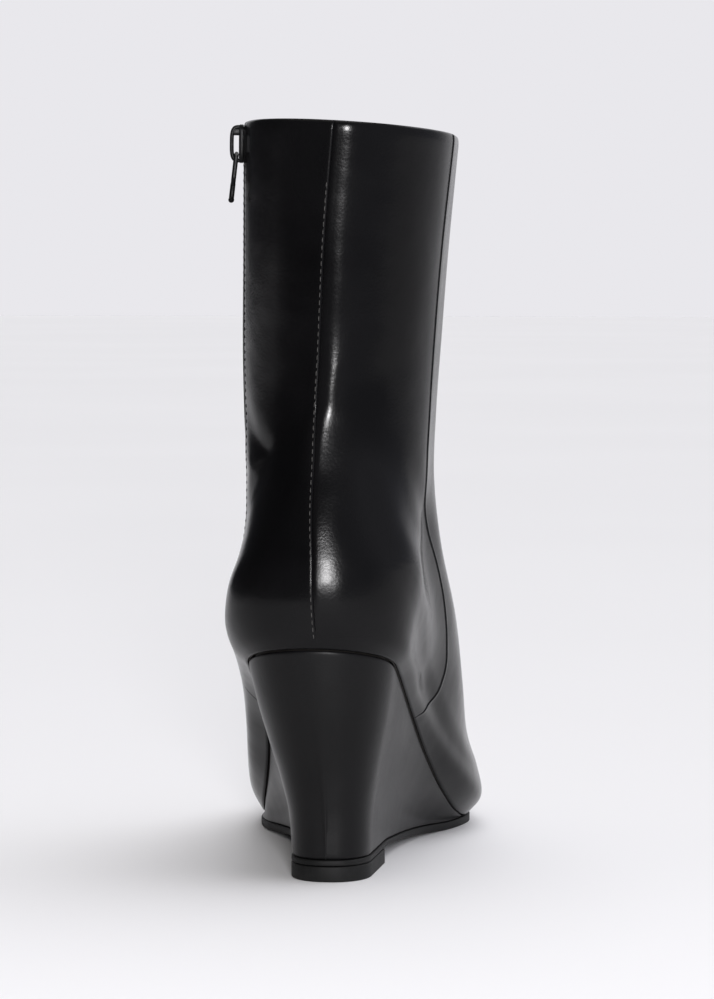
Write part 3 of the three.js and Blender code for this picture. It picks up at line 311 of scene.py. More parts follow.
def make_skin():
    """The upper's face as a fine table over level and turn. Turn is the share of the way round by length: 0
    at the back, 1 in front by the outer side and -1 by the inner side."""
    levels = np.arange(-SKIN_MARGIN, COLLAR * LEVEL_FINE + SKIN_MARGIN + 1) / LEVEL_FINE
    rows = np.arange(len(levels))[:, None]
    below_one = 0.999999
    at = (np.linspace(0, 1, TURN_FINE // 2 + 1)[None, :] * below_one + rows).ravel()
    halves, lengths = [], []
    for side in ("out", "in"):
        points, distance = trace_half(levels, side)
        total = distance[:, -1:]
        flat = (distance / total * below_one + rows).ravel()
        columns = [np.interp(at, flat, points[..., k].ravel()).reshape(len(rows), -1) for k in range(3)]
        halves.append(np.stack(columns, axis=-1))
        lengths.append(total[:, 0])
    outer, inner = halves
    return np.concatenate([inner[:, :0:-1], outer[:, :-1]], axis=1), levels, lengths


SKIN, SKIN_LEVELS, (OUTER_LENGTH, INNER_LENGTH) = make_skin()


def cubic_weights(s):
    """Weights of the four table values round a place, for a smooth line through them."""
    weights = [-0.5 * s + s**2 - 0.5 * s**3, 1 - 2.5 * s**2 + 1.5 * s**3, 0.5 * s + 2 * s**2 - 1.5 * s**3]
    return np.stack([*weights, 0.5 * (s**3 - s**2)], axis=-1)


def skin(level, turn):
    """A point of the upper's face, on a cubic both ways through the sixteen table points round it."""
    level, turn = np.broadcast_arrays(np.asarray(level, float), np.asarray(turn, float))
    u = level * LEVEL_FINE + SKIN_MARGIN
    v = (turn + 1) / 2 * TURN_FINE
    i = np.clip(np.floor(u).astype(int), 1, len(SKIN) - 3)
    j = np.floor(v).astype(int)
    by_level, by_turn = cubic_weights(u - i), cubic_weights(v - j)
    found = np.zeros(level.shape + (3,))
    for a in range(4):
        for b in range(4):
            weight = by_level[..., a] * by_turn[..., b]
            found += weight[..., None] * SKIN[i + a - 1, (j + b - 1) % TURN_FINE]
    return found


def unit(vector):
    """The vector at length one."""
    return vector / np.maximum(np.linalg.norm(vector, axis=-1, keepdims=True), 1e-12)


def skin_normal(level, turn):
    """The way out of the upper's face: across the line round it and the line up it. It lies level at the
    sole."""
    level, turn = np.broadcast_arrays(np.asarray(level, float), np.asarray(turn, float))
    above, below = np.minimum(level + LEVEL_PROBE, COLLAR), np.maximum(level - LEVEL_PROBE, 0)
    up = skin(above, turn) - skin(below, turn)
    around = skin(level, turn + TURN_PROBE) - skin(level, turn - TURN_PROBE)
    normal = unit(np.cross(around, up))
    normal[..., 2] *= np.clip(level / LEVEL_AT_SOLE, 0, 1)
    return unit(normal)


def turn_length(level, turn):
    """Millimetres of the way round for one unit of turn, on the outer or the inner half."""
    wrapped = (turn + 1) % 2 - 1
    outer = np.interp(level, SKIN_LEVELS, OUTER_LENGTH)
    return np.where(wrapped >= 0, outer, np.interp(level, SKIN_LEVELS, INNER_LENGTH))


def inner_length(level):
    """Length of the inner half of a section."""
    return np.interp(level, SKIN_LEVELS, INNER_LENGTH)


def zip_turn(level):
    """The zip's line down the inner side."""
    return along(ZIP_LINE, 1, np.asarray(level) / COLLAR)


ZIP_LEVELS = np.linspace(0, COLLAR, 2201)
ZIP_DROPS = skin(COLLAR, zip_turn(COLLAR))[2] - skin(ZIP_LEVELS, zip_turn(ZIP_LEVELS))[:, 2]


def zip_level(drop):
    """The level on the zip's line at a height below the collar."""
    return np.interp(-np.asarray(drop, float), -ZIP_DROPS, ZIP_LEVELS)


def zip_drop(level):
    """Height below the collar of the zip's line at a level."""
    return np.interp(level, ZIP_LEVELS, ZIP_DROPS)


# Folds and seams of the leather
SLOT_CLOSING = 7.0
FOLD_POINTS, FOLD_BLEND = 24, 18.0


def slot_half(level):
    """Half the open width between the leather's edges. It closes smoothly above the slot's lower end."""
    return ZIP_SLOT_WIDTH / 2 * (1 - ease(zip_drop(level), ZIP_LENGTH - SLOT_CLOSING, ZIP_LENGTH))


def seam_turn(seam, level):
    """Where a seam runs at a level."""
    return along(seam, 1, level)


def fold_relief(points):
    """Height of the soft folds: for each one, a bell over the distance to its line, fading towards its
    ends."""
    relief = np.zeros(len(points))
    for width, height, line in FOLDS:
        line = np.array(line)
        at = np.linspace(0, len(line) - 1, FOLD_POINTS)
        steps = np.arange(len(line))
        path = skin(np.interp(at, steps, line[:, 0]), np.interp(at, steps, line[:, 1]))
        gap2 = ((points[:, None, :] - path[None, :, :]) ** 2).sum(axis=-1)
        nearness = np.exp(-(gap2 - gap2.min(axis=1, keepdims=True)) / FOLD_BLEND)
        share = (nearness * np.linspace(0, 1, FOLD_POINTS)).sum(axis=1) / nearness.sum(axis=1)
        fade = np.sin(np.pi * np.clip(share, 0, 1)) ** 0.8
        relief += height * np.exp(-gap2.min(axis=1) / width**2) * fade
    return relief


def bells(distance, table):
    """Sum of bells over a distance, each with its height, middle and width."""
    return sum(height * np.exp(-(((distance - middle) / width) ** 2)) for height, middle, width in table)


def slow_wave(level, turn, shape):
    """A sine wave over turn and level."""
    height, by_turn, by_level, start = shape
    return height * np.sin(2 * np.pi * (by_turn * turn + by_level * level + start))


def leather_relief(level, turn):
    """How far the leather stands out of the last: slow waves, folds, a grooved back seam with soft lips, a
    side seam whose front panel lies over the back one, lips along the zip and a joint below it."""
    around = turn_length(level, turn)
    back = (turn - seam_turn(BACK_SEAM, level)) * around
    side = (turn - seam_turn(SIDE_SEAM, level)) * around
    wrapped = (turn - zip_turn(level) + 1) % 2 - 1
    slot = np.abs(wrapped * inner_length(level)) - slot_half(level)
    relief = slow_wave(level, turn, LONG_WAVE) * np.sin(WAVE_SWELL * level + WAVE_SWELL_START)
    relief += slow_wave(level, turn, SHORT_WAVE) + bells(np.abs(back), BACK_BELLS)
    beside = back - along(BACK_RIDGE, 2, level)
    crest = np.exp(-(np.hypot(beside, CREST_ROUND) - CREST_ROUND) / CREST_REACH)
    crest -= CREST_HOLLOW * np.exp(-((beside / CREST_HOLLOW_WIDTH) ** 2))
    relief += along(BACK_RIDGE, 1, level) * crest
    over = ease(side, -0.2, 0.25) * np.exp(-np.clip(side, 0, None) / SIDE_STEP_REACH)
    relief += SIDE_STEP * over + bells(side, SIDE_BELLS)
    has_zip = 1 - ease(zip_drop(level), ZIP_LENGTH - ZIP_FADE, ZIP_LENGTH + ZIP_FADE)
    relief += has_zip * bells(slot, ZIP_BELLS)
    relief *= lerp(EDGE_CALM, 1, ease(level, 0.0, CALM_END))
    relief -= COLLAR_ROLL * (1 - rim((COLLAR - level) * LEVEL_LENGTH, COLLAR_ROLL_DEPTH))
    folds = fold_relief(skin(level, turn).reshape(-1, 3)).reshape(level.shape)
    return relief + folds * ease(level, *FOLD_START) * (1 - ease(level, *FOLD_END))


def spread(start, end, count, around, fine):
    """Turns between two lines: a few at fixed distances from each end, and even ones between them."""
    near = np.array(fine) / around
    low, high = start + near, end - near[:, ::-1]
    middle = lerp(low[:, -1:], high[:, :1], np.linspace(0, 1, count + 2)[1:-1])
    return np.concatenate([start, low, middle, high], axis=1)


SEAM_FINE = (0.12, 0.3, 0.55, 0.9, 1.4, 2.1, 3.1)
FRONT_FINE = (0.15, 0.4, 0.9, 1.8)
ROW_SHARES = ((0.0, 0.2, 0.56, 1.0), (0.0, 4.0, 8.0, 11.0))
FIRST_LEVELS = (0.012, 0.035, 0.07, 0.12, 0.2)
COLLAR_DROPS = (0.14, 0.085, 0.055, 0.033, 0.018, 0.009, 0.003)
ROW_MARGIN, SHORTEST_LEVEL = 0.02, 4.0
PANEL_COLUMNS = (20, 24, 78)


def row_levels(count):
    """Levels of the leather's rows, closer at the lower edge and at the collar's fold."""
    levels = np.interp(np.linspace(0, 1, count), *ROW_SHARES)
    high = COLLAR - np.array(COLLAR_DROPS)
    inside = levels[(levels > FIRST_LEVELS[-1] + ROW_MARGIN) & (levels < high[0] - ROW_MARGIN)]
    return np.concatenate([[0.0], FIRST_LEVELS, inside, high, [float(COLLAR)]])


def shell_grid(rows):
    """Level and turn of each point of the leather, from the zip's rear edge round by the back seam, the
    side seam and the front to the zip's front edge."""
    level = row_levels(rows)[:, None]
    around = inner_length(level)
    start = zip_turn(level) + slot_half(level) / around
    end = zip_turn(level) - slot_half(level) / around + 2
    back, side = seam_turn(BACK_SEAM, level), seam_turn(SIDE_SEAM, level)
    outer = np.interp(level, SKIN_LEVELS, OUTER_LENGTH)
    lines, lengths = (start, back, side, end), (around, outer, outer)
    turns = [spread(*lines[i:i + 2], PANEL_COLUMNS[i], lengths[i], SEAM_FINE) for i in range(3)]
    turn = np.concatenate([*turns, end], axis=1)
    return np.broadcast_to(level, turn.shape), turn


def rim(distance, radius):
    """How full a rounded edge is at a distance from it: a quarter circle from 0 to 1."""
    t = 1 - np.clip(distance / radius, 0, 1)
    return np.sqrt(np.clip(1 - t * t, 0, 1))


def sheet_rim(level, turn, radius, low_level, high_level):
    """Fullness of a wall's rounded borders: its lower edge, its upper edge and both sides of the zip."""
    below = skin(np.clip(level - LEVEL_PROBE, 0, None), turn)
    per_level = np.linalg.norm(skin(level, turn) - below, axis=-1) / LEVEL_PROBE
    per_level = np.maximum(per_level, SHORTEST_LEVEL)
    down, up = (level - low_level) * per_level, (high_level - level) * per_level
    around = inner_length(level)
    sides = np.minimum(turn - turn[:, :1], turn[:, -1:] - turn) * around
    return rim(down, radius) * rim(up, radius) * rim(sides, radius)


# Meshes
UPPER_LOW, UPPER_HIGH = (np.array(corner) * 1000 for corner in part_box("upper"))
TOP_LIFT_LOW = np.array(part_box("top_lift")[0]) * 1000
SKIN_SIDES = SKIN[SKIN_MARGIN:-SKIN_MARGIN, :, 0]
SHIFT = np.array([
    (UPPER_LOW[0] + UPPER_HIGH[0]) / 2 - (SKIN_SIDES.min() + SKIN_SIDES.max()) / 2,
    TOP_LIFT_LOW[1] - BASE_BACK,
    0.0,
])


def grid_quads(number, close_columns=False):
    """Corners of the faces between neighbouring points of a numbered grid, anticlockwise from outside."""
    right = np.roll(number, -1, axis=1) if close_columns else number[:, 1:]
    left = number if close_columns else number[:, :-1]
    return np.stack([left[:-1], right[:-1], right[1:], left[1:]], axis=-1).reshape(-1, 4)


def thick_sheet(outer, inner):
    """A closed wall between two grids of points whose borders are the same points."""
    rows, columns = outer.shape[:2]
    front = np.arange(rows * columns).reshape(rows, columns)
    back = front.copy()
    back[1:-1, 1:-1] = rows * columns + np.arange((rows - 2) * (columns - 2)).reshape(rows - 2, columns - 2)
    points = np.concatenate([outer.reshape(-1, 3), inner[1:-1, 1:-1].reshape(-1, 3)])
    return points, [grid_quads(front), grid_quads(back)[:, ::-1]]


def closed_stack(rings, paired=False):
    """Closed bodies from stacks of rings, given as body, ring, place on the ring and coordinate. Each end
    is one face, or a row of faces across where the ring's two sides are paired."""
    bodies, levels, places = rings.shape[:3]
    number = np.arange(bodies * levels * places).reshape(bodies, levels, places)
    sides = np.concatenate([grid_quads(body, True) for body in number])
    first, last = number[:, 0], number[:, -1]
    if not paired:
        return rings.reshape(-1, 3), [sides, first[:, ::-1], last]
    half = places // 2
    out, back = last[:, :half], last[:, half:][:, ::-1]
    top = np.stack([out[:, :-1], out[:, 1:], back[:, 1:], back[:, :-1]], axis=-1).reshape(-1, 4)
    under = top - (levels - 1) * places
    return rings.reshape(-1, 3), [sides, under[:, ::-1], top]


def join(*parts):
    """Several sets of points and faces as one."""
    points, faces, start = [], [], 0
    for part_points, part_faces in parts:
        points.append(part_points)
        faces += [face + start for face in part_faces]
        start += len(part_points)
    return np.concatenate(points), faces


def make_piece(name, slot, shape, stands_for=(), finish=None, body="boot", marks=None, sharp=40):
    """Puts points in millimetres and face corners into a mesh that rides on a body of the model."""
    points, faces = shape
    mesh = bpy.data.meshes.new(name)
    corners = [corner for face in faces for corner in face.tolist()]
    mesh.from_pydata(((points + SHIFT) / 1000).tolist(), [], corners)
    for label, values in (marks or {}).items():
        mark = mesh.attributes.new(label, "FLOAT", "POINT")
        mark.data.foreach_set("value", values.astype(np.float32).ravel())
    mesh.shade_smooth()
    mesh.set_sharp_from_angle(angle=math.radians(sharp))
    mesh.materials.append(finish_for(finish or slot))
    piece = bpy.data.objects.new(name, mesh)
    bpy.context.scene.collection.objects.link(piece)
    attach(piece, body)
    if stands_for:
        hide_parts(*stands_for)


# Materials
class Value:
    """A socket of a material's node tree, with the operators of plain arithmetic."""

    def __init__(self, tree, socket):
        self.tree = tree
        self.socket = socket

    def math(self, operation, *others):
        return self.tree.node("ShaderNodeMath", {"operation": operation}, [self, *others])

    def __add__(self, other):
        return self.math("ADD", other)

    def __sub__(self, other):
        return self.math("SUBTRACT", other)

    def __mul__(self, other):
        return self.math("MULTIPLY", other)

    def __rsub__(self, other):
        return self.tree.node("ShaderNodeMath", {"operation": "SUBTRACT"}, [other, self])

    __radd__ = __add__
    __rmul__ = __mul__

    def step(self, low, high, low_out=0.0, high_out=1.0):
        """A smooth step between two values."""
        settings = {"interpolation_type": "SMOOTHSTEP"}
        return self.tree.node("ShaderNodeMapRange", settings, [self, low, high, low_out, high_out])


class Tree:
    """The nodes of one material."""

    def __init__(self, name):
        self.material = bpy.data.materials.new(name)
        self.material.use_nodes = True
        self.nodes = self.material.node_tree.nodes
        self.links = self.material.node_tree.links
        self.shader = self.nodes["Principled BSDF"]

    def put(self, socket, value):
        if isinstance(value, Value):
            self.links.new(value.socket, socket)
        elif value is not None:
            socket.default_value = value

    def node(self, kind, settings=None, inputs=(), output=0):
        """A node of a type, with its settings first and then its inputs, by place or by name."""
        made = self.nodes.new(kind)
        for name, value in (settings or {}).items():
            setattr(made, name, value)
        pairs = inputs.items() if isinstance(inputs, dict) else enumerate(inputs)
        for key, value in pairs:
            self.put(made.inputs[key], value)
        return Value(self, made.outputs[output])

    def place(self, scale=(1, 1, 1), turn=(0, 0, 0)):
        """Object coordinates in metres, stretched and turned."""
        coordinates = self.node("ShaderNodeTexCoord", output="Object")
        inputs = {"Vector": coordinates, "Rotation": turn, "Scale": scale}
        return self.node("ShaderNodeMapping", inputs=inputs)

    def noise(self, vector, scale, detail=3.0, roughness=0.5):
        inputs = {"Vector": vector, "Scale": scale, "Detail": detail, "Roughness": roughness}
        return self.node("ShaderNodeTexNoise", inputs=inputs)

    def cells(self, vector, scale, smoothness):
        inputs = {"Vector": vector, "Scale": scale, "Smoothness": smoothness}
        return self.node("ShaderNodeTexVoronoi", {"feature": "SMOOTH_F1"}, inputs)

    def wave(self, vector, scale, axis, distortion):
        settings = {"wave_type": "BANDS", "bands_direction": axis}
        inputs = {"Vector": vector, "Scale": scale, "Distortion": distortion}
        return self.node("ShaderNodeTexWave", settings, inputs)

    def mark(self, name):
        return self.node("ShaderNodeAttribute", {"attribute_name": name}, output="Fac")

    def mix(self, share, low, high):
        """A colour between two."""
        made = self.nodes.new("ShaderNodeMix")
        made.data_type = "RGBA"
        for name, value in (("Factor_Float", share), ("A_Color", low), ("B_Color", high)):
            self.put(next(socket for socket in made.inputs if socket.identifier == name), value)
        return Value(self, next(socket for socket in made.outputs if socket.identifier == "Result_Color"))

    def bump(self, height, distance, normal=None, strength=1.0):
        inputs = {"Strength": strength, "Distance": distance, "Height": height, "Normal": normal}
        return self.node("ShaderNodeBump", inputs=inputs)

    def finish(self, shine, **values):
        """Sets how much light the face throws back, and the inputs that are named."""
        self.shader.inputs["Specular IOR Level"].default_value = shine
        for name, value in values.items():
            self.put(self.shader.inputs[name.replace("_", " ").title()], value)
        return self.material


def tint(colour):
    """A colour with full alpha."""
    return (*colour, 1.0)


def leather_material(name, colour, grain_size, grain, gloss, coat, shine):
    """Grained leather: pebbles with fine creases between them, slow waves under them, and uneven gloss."""
    tree = Tree(name)
    place = tree.place()
    wobble = tree.noise(place, 260, 2.0)
    pebbles = tree.cells(place, 1 / grain_size, 0.6)
    fine = tree.noise(place, 2.6 / grain_size, 4.0, 0.6)
    slow = tree.noise(place, 38, 2.0, 0.45)
    rub = tree.mark("rub")
    height = pebbles * 0.6 + fine * 0.5 + wobble * 0.6
    waves = tree.bump(slow, 0.0016, strength=0.35)
    grained = tree.bump(height, grain, normal=waves)
    patch = tree.noise(place, 17, 3.0, 0.55)
    dark, light = tint([c * 0.75 for c in colour]), tint([c * 1.5 for c in colour])
    shade = tree.mix(patch.step(0.3, 0.75), dark, light)
    worn = tree.mix(rub * 0.5, shade, tint([c * 2.4 + 0.004 for c in colour]))
    roughness = gloss + patch.step(0.25, 0.8, -0.04, 0.06) + pebbles * 0.05 - rub * 0.04
    return tree.finish(
        shine, base_color=worn, roughness=roughness, coat_weight=coat + rub * 0.05, coat_roughness=0.12,
        normal=grained,
    )


def rubber_material(name, colour):
    """Matt rubber with fine specks, and shallow ribs on its underside where it has a tread."""
    tree = Tree(name)
    place = tree.place()
    speck = tree.noise(place, 2400, 3.0, 0.6)
    patch = tree.noise(place, 60, 4.0, 0.6)
    tread = tree.wave(place, 130, "DIAGONAL", 0.4).step(0.25, 0.45) * tree.mark("tread")
    height = speck * 0.5 + patch * 0.5 + tread * 4
    shade = tree.mix(patch.step(0.35, 0.7), tint(colour), tint([c * 2.0 + 0.003 for c in colour]))
    return tree.finish(0.2, base_color=shade, roughness=0.5 + patch * 0.2, normal=tree.bump(height, 0.00008))


def cloth_material(name, colour, thread):
    """Woven tape: two crossed sets of fine threads, coloured darker in the hollows between them and lighter
    on their tops, which is painted shade and painted highlight.
    """
    tree = Tree(name)
    place = tree.place()
    up = tree.wave(place, 1 / thread / 6.3, "Z", 1.0)
    across = tree.wave(place, 1 / thread / 6.3, "Y", 1.0)
    fuzz = tree.noise(place, 3000, 2.0)
    height = up * 0.5 + across * 0.5 + fuzz * 0.3
    # Painted shade and highlight: the colour follows the weave's height, darker where it is low and lighter
    # where it is high.
    shade = tree.mix(height.step(0.2, 0.9), tint([c * 0.6 for c in colour]), tint([c * 1.8 for c in colour]))
    return tree.finish(0.1, base_color=shade, roughness=0.75 + fuzz * 0.15, normal=tree.bump(height, 0.00012))


def metal_material(name, colour):
    """Coated metal: smooth with faint polishing lines and worn spots."""
    tree = Tree(name)
    place = tree.place()
    lines = tree.noise(tree.place((400, 400, 4000)), 1.0, 2.0)
    wear = tree.noise(place, 700, 4.0, 0.65)
    shade = tree.mix(wear.step(0.58, 0.8), tint(colour), tint([c * 3 + 0.02 for c in colour]))
    roughness = 0.26 + wear.step(0.3, 0.8) * 0.16
    polish = tree.bump(lines, 0.00002)
    return tree.finish(0.07, base_color=shade, metallic=0.1, roughness=roughness, normal=polish)


def floor_material(colour):
    """A pale matt floor with barely visible patches."""
    tree = Tree("floor_paper")
    patch = tree.noise(tree.place(), 1.3, 2.0)
    shade = tree.mix(patch.step(0.3, 0.7), tint([c * 0.985 for c in colour]), tint(colour))
    return tree.finish(0.5, base_color=shade, roughness=0.9)


MATERIALS = {}
# Leathers: name, colour, size and height of the grain in metres, roughness, coat and shine
LEATHERS = {
    "leather": ("black_leather", "leather", 0.0009, 0.000028, 0.18, 0.055, 0.12),
    "heel_cover": ("heel_leather", "leather", 0.0008, 0.00003, 0.32, 0.0, 0.18),
    "lining": ("lining_leather", "lining", 0.0007, 0.00007, 0.6, 0.0, 0.2),
    "sock": ("sock_leather", "lining", 0.001, 0.00009, 0.55, 0.0, 0.2),
}
# Woven finishes: name, colour and size of a thread in metres
CLOTHS = {
    "tape": ("zip_tape_weave", "tape", 0.00045),
    "thread": ("stitch_thread", "thread", 0.00012),
    "dark_thread": ("dark_thread", "tape", 0.00012),
}
MAKERS = {
    **{slot: (leather_material, *row) for slot, row in LEATHERS.items()},
    **{slot: (cloth_material, *row) for slot, row in CLOTHS.items()},
    "sole": (rubber_material, "sole_rubber", "sole"),
    "zip_metal": (metal_material, "zip_black_metal", "metal"),
}


def finish_for(slot):
    """The material of a slot, made once."""
    if slot not in MATERIALS:
        maker, name, colour, *look = MAKERS[slot]
        MATERIALS[slot] = maker(name, getattr(bpy.context.scene.boot_colours, colour), *look)
    return MATERIALS[slot]


# Shapes of the pieces
LINING_GAP, LINING_BACK, INNER_RELIEF = 0.03, 0.9, 0.6
LEATHER_RIM, LINING_RIM, OUTSOLE_RIM, TOP_LIFT_RIM, SOCK_RIM, TAPE_RIM = 0.8, 0.4, 0.45, 0.4, 1.0, 0.5
EDGE_RELIEF, WORN_RELIEF, RIDGE_RUB, COLLAR_RUB, WORN_COLLAR = 0.15, 0.8, 0.6, 0.25, (10.6, 10.98)
FOLD_SLOPE = (-0.2, 0.8)


def upper_shape(sizes):
    """Leather of the shaft and foot: the last's face with its relief, and the same face at the leather's
    thickness under it, the two joined by round edges. Near the collar the leather is folded to the wall's
    whole thickness."""
    level, turn = shell_grid(sizes.rows)
    normal = skin_normal(level, turn)
    fold = 1 - ease((COLLAR - level) * LEVEL_LENGTH, *(sizes.fold_depth + slope for slope in FOLD_SLOPE))
    thick = lerp(sizes.leather, WALL, fold)
    full = sheet_rim(level, turn, LEATHER_RIM, 0, COLLAR)
    relief = leather_relief(level, turn)
    face = skin(level, turn) + normal * (relief * lerp(EDGE_RELIEF, 1, full))[..., None]
    outer = face - normal * (thick / 2 * (1 - full))[..., None]
    inner_face = skin(level, turn) + normal * (np.minimum(relief, 0.0) * INNER_RELIEF)[..., None]
    inner = inner_face - normal * (thick / 2 * (1 + full))[..., None]
    inner = np.where((full < 1e-9)[..., None], outer, inner)
    shape = thick_sheet(outer, inner)
    edge = np.clip(relief / WORN_RELIEF, 0, 1) * RIDGE_RUB + ease(level, *WORN_COLLAR) * COLLAR_RUB
    rub = np.concatenate([edge.ravel(), np.zeros((level.shape[0] - 2) * (level.shape[1] - 2))])
    return shape, rub


def lining_shape(sizes):
    """Lining: a thin wall inside the leather, from the sock up to the leather's fold."""
    top = COLLAR - sizes.fold_depth / LEVEL_LENGTH
    middle = np.linspace(0.2, top - 0.03, 96)
    level = np.concatenate([[0.02, 0.05, 0.1], middle, [top - 0.012, top - 0.004, top]])[:, None]
    around = inner_length(level)
    beside = (slot_half(level) + LINING_BACK) / around
    start, end = zip_turn(level) + beside, zip_turn(level) - beside + 2
    turn = spread(start, end, 96, around, FRONT_FINE)
    turn = np.concatenate([turn, end], axis=1)
    level = np.broadcast_to(level, turn.shape)
    normal = skin_normal(level, turn)
    full = sheet_rim(level, turn, LINING_RIM, level[0, 0], top)
    relief = np.minimum(leather_relief(level, turn), 0.0) * INNER_RELIEF
    middle = skin(level, turn) + normal * (relief - (sizes.leather + LINING_GAP + WALL) / 2)[..., None]
    half = normal * ((WALL - sizes.leather - LINING_GAP) / 2 * full)[..., None]
    return thick_sheet(middle + half, middle - half)


EDGE = {name: float(value) for name, value in section_at(np.array(0.0)).items()}
NARROW_END = 0.05
CROWN_REACH, SOCK_CROWN = 6.0, 0.5


def edge_outline(places, inset):
    """The upper's lower edge, drawn in: the outer side from back to front and the inner side back again."""
    wide = [np.maximum(half_width(EDGE, side, places, inset), NARROW_END) for side in ("out", "in")]
    out = np.stack([wide[0] + swing(places), places], axis=-1)
    back = np.stack([-wide[1] + swing(places), places], axis=-1)
    return np.concatenate([out, back[::-1]])


BASE_FRONT = BASE_BACK + BASE_LENGTH
BASE_ROUND_END = lerp(BASE_BACK, BASE_FRONT, BASE_ROUND)


def base_half_width(y, inset):
    """Half width of the heel's base: a superellipse at its back and a slow spread in front of it."""
    half = BASE_WIDTH / 2 - inset
    t = np.clip((BASE_ROUND_END - y) / (BASE_ROUND_END - BASE_BACK - inset), 0, 1)
    spread_out = half * (1 + BASE_SPREAD * (y - BASE_ROUND_END) / (BASE_FRONT - BASE_ROUND_END))
    return np.where(y < BASE_ROUND_END, half * (1 - t**2) ** (1 / BASE_CORNER), spread_out)


def sole_outline(places, inset):
    """The sole's outline: from the heel's base to the upper's edge with its margin, by the arch line's
    spread."""
    found = []
    for side, sign, column in (("out", 1, 3), ("in", -1, 4)):
        base = np.maximum(base_half_width(np.minimum(places, BASE_FRONT), inset), NARROW_END)
        wide = np.maximum(half_width(EDGE, side, places, inset - SOLE_MARGIN), NARROW_END)
        share = along(ARCH_LINE, column, places / SHOE_LENGTH)
        x = lerp(sign * base + BASE_SHIFT, sign * wide + swing(places), share)
        found.append(np.stack([x, places], axis=-1))
    return np.concatenate([found[0], found[1][::-1]])


def heel_places(back, round_end, front, round_steps, steps):
    """Places from the back to the sides, closer at the back, and evenly on to the front."""
    turn = 1 - np.cos(np.arange(round_steps) / round_steps * np.pi / 2)
    return np.concatenate([lerp(back, round_end, turn), lerp(round_end, front, np.linspace(0, 1, steps))])


def floor_height(y):
    """Height of the floor."""
    return 0 * y


def sole_underside(y):
    """Height of the outsole's underside."""
    at = y / SHOE_LENGTH
    return along(ARCH_LINE, 1, at) * (TOP_LIFT_HEIGHT + GAP) + along(SOLE_LINE, 2, at) * TOE_SPRING


def sole_top(y):
    """Height of the outsole's upper side."""
    return sole_underside(y) + along(ARCH_LINE, 2, y / SHOE_LENGTH) * SOLE_THICKNESS


def rounded_slab(outline, places, low, high, radius, crown=0.0):
    """A flat piece with round edges: rings whose inset and height follow a quarter circle at its underside
    and another at its top. outline(places, inset) gives a ring, low and high its heights."""
    angle = np.linspace(0, np.pi / 2, 5)
    arc = [(radius * (1 - np.sin(a)), radius * (1 - np.cos(a))) for a in angle]
    levels = [(inset, low, lift) for inset, lift in arc] + [(inset, high, -drop) for inset, drop in arc[::-1]]
    for inset in (radius + 1.5, radius + CROWN_REACH) if crown else ():
        levels.append((inset, high, crown * ease(inset, radius, radius + CROWN_REACH)))
    rings = []
    for inset, height, lift in levels:
        ring = outline(places(inset), inset)
        rings.append(np.column_stack([ring, height(ring[:, 1]) + lift]))
    return closed_stack(np.array(rings)[None], paired=True)


def outsole_shape():
    """Outsole: one thin slab from the heel's base to the toe."""
    def places(inset):
        front = EDGE["front"] + SOLE_MARGIN - inset
        return stations(BASE_BACK + inset, BASE_ROUND_END, EDGE["fore_at_out"], front, 60)
    return rounded_slab(sole_outline, places, sole_underside, sole_top, OUTSOLE_RIM)


def top_lift_shape():
    """Top lift: a slab under the heel's base, cut straight in front."""
    def places(inset):
        return heel_places(BASE_BACK + inset, BASE_ROUND_END, BASE_FRONT - inset, 24, 12)
    def top(y):
        return 0 * y + TOP_LIFT_HEIGHT
    return rounded_slab(sole_outline, places, floor_height, top, TOP_LIFT_RIM)


def sock_shape():
    """Sock: a soft sole inside, with round edges and a slightly raised middle."""
    base = WALL + INSOLE_MARGIN

    def outline(places, inset):
        return edge_outline(places, base + inset)

    def places(inset):
        cut = base + inset
        return stations(EDGE["back"] + cut, EDGE["rear_at"], EDGE["fore_at_out"], EDGE["front"] - cut, 40)
    def top(y):
        return edge_height(y) + INSOLE_THICKNESS
    return rounded_slab(outline, places, edge_height, top, SOCK_RIM, crown=SOCK_CROWN)


# How far the wedge's cover tucks in at its base and its top, and over which share of its height
BASE_TUCK, BASE_RIM, TOP_TUCK, TOP_RIM = 0.5, 0.012, 0.6, 0.02


def wedge_shape():
    """Wedge: rings from the outsole up to the upper's edge, flaring by the flare line, with round edges."""
    front = WEDGE_END * SHOE_LENGTH
    top_places = heel_places(EDGE["back"] + WEDGE_INSET, EDGE["rear_at"], front, 30, 60)
    base_places = heel_places(BASE_BACK, BASE_ROUND_END, front, 30, 60)
    top, base = edge_outline(top_places, WEDGE_INSET), sole_outline(base_places, BASE_INSET)
    share = np.concatenate([[0.0, 0.004, 0.012], np.linspace(0.03, 0.97, 34), [0.982, 0.99, 0.996, 1.0]])
    tuck = BASE_TUCK * (1 - rim(share, BASE_RIM)) + TOP_TUCK * (1 - rim(1 - share, TOP_RIM))
    flat = lerp(base[None], top[None], along(FLARE_LINE, 1, share)[:, None, None])
    low, high = sole_top(base[:, 1]) + GAP, edge_height(top[:, 1]) - GAP
    z = lerp(low[None], high[None], share[:, None])
    along_way = np.gradient(flat, axis=1)
    away = unit(np.stack([along_way[..., 1], -along_way[..., 0]], axis=-1))
    flat = flat - away * (tuck[:, None] * ease(high - low, 1.5, 8.0)[None])[..., None]
    return closed_stack(np.concatenate([flat, z[..., None]], axis=-1)[None], paired=True)


def strip_grid(width, from_drop, to_drop, rows, columns):
    """Level, turn and distance across of a strip along the zip's line."""
    level = zip_level(np.linspace(from_drop, to_drop, rows))[:, None]
    across = np.linspace(-width / 2, width / 2, columns)[None, :]
    across, level = np.broadcast_arrays(across, level)
    return level, zip_turn(level) + across / inner_length(level), across


TAPE_TAIL, TAPE_START, CORD_HEIGHT, CORD_EDGE = 9.0, 1.5, 0.7, (0.9, 1.9)


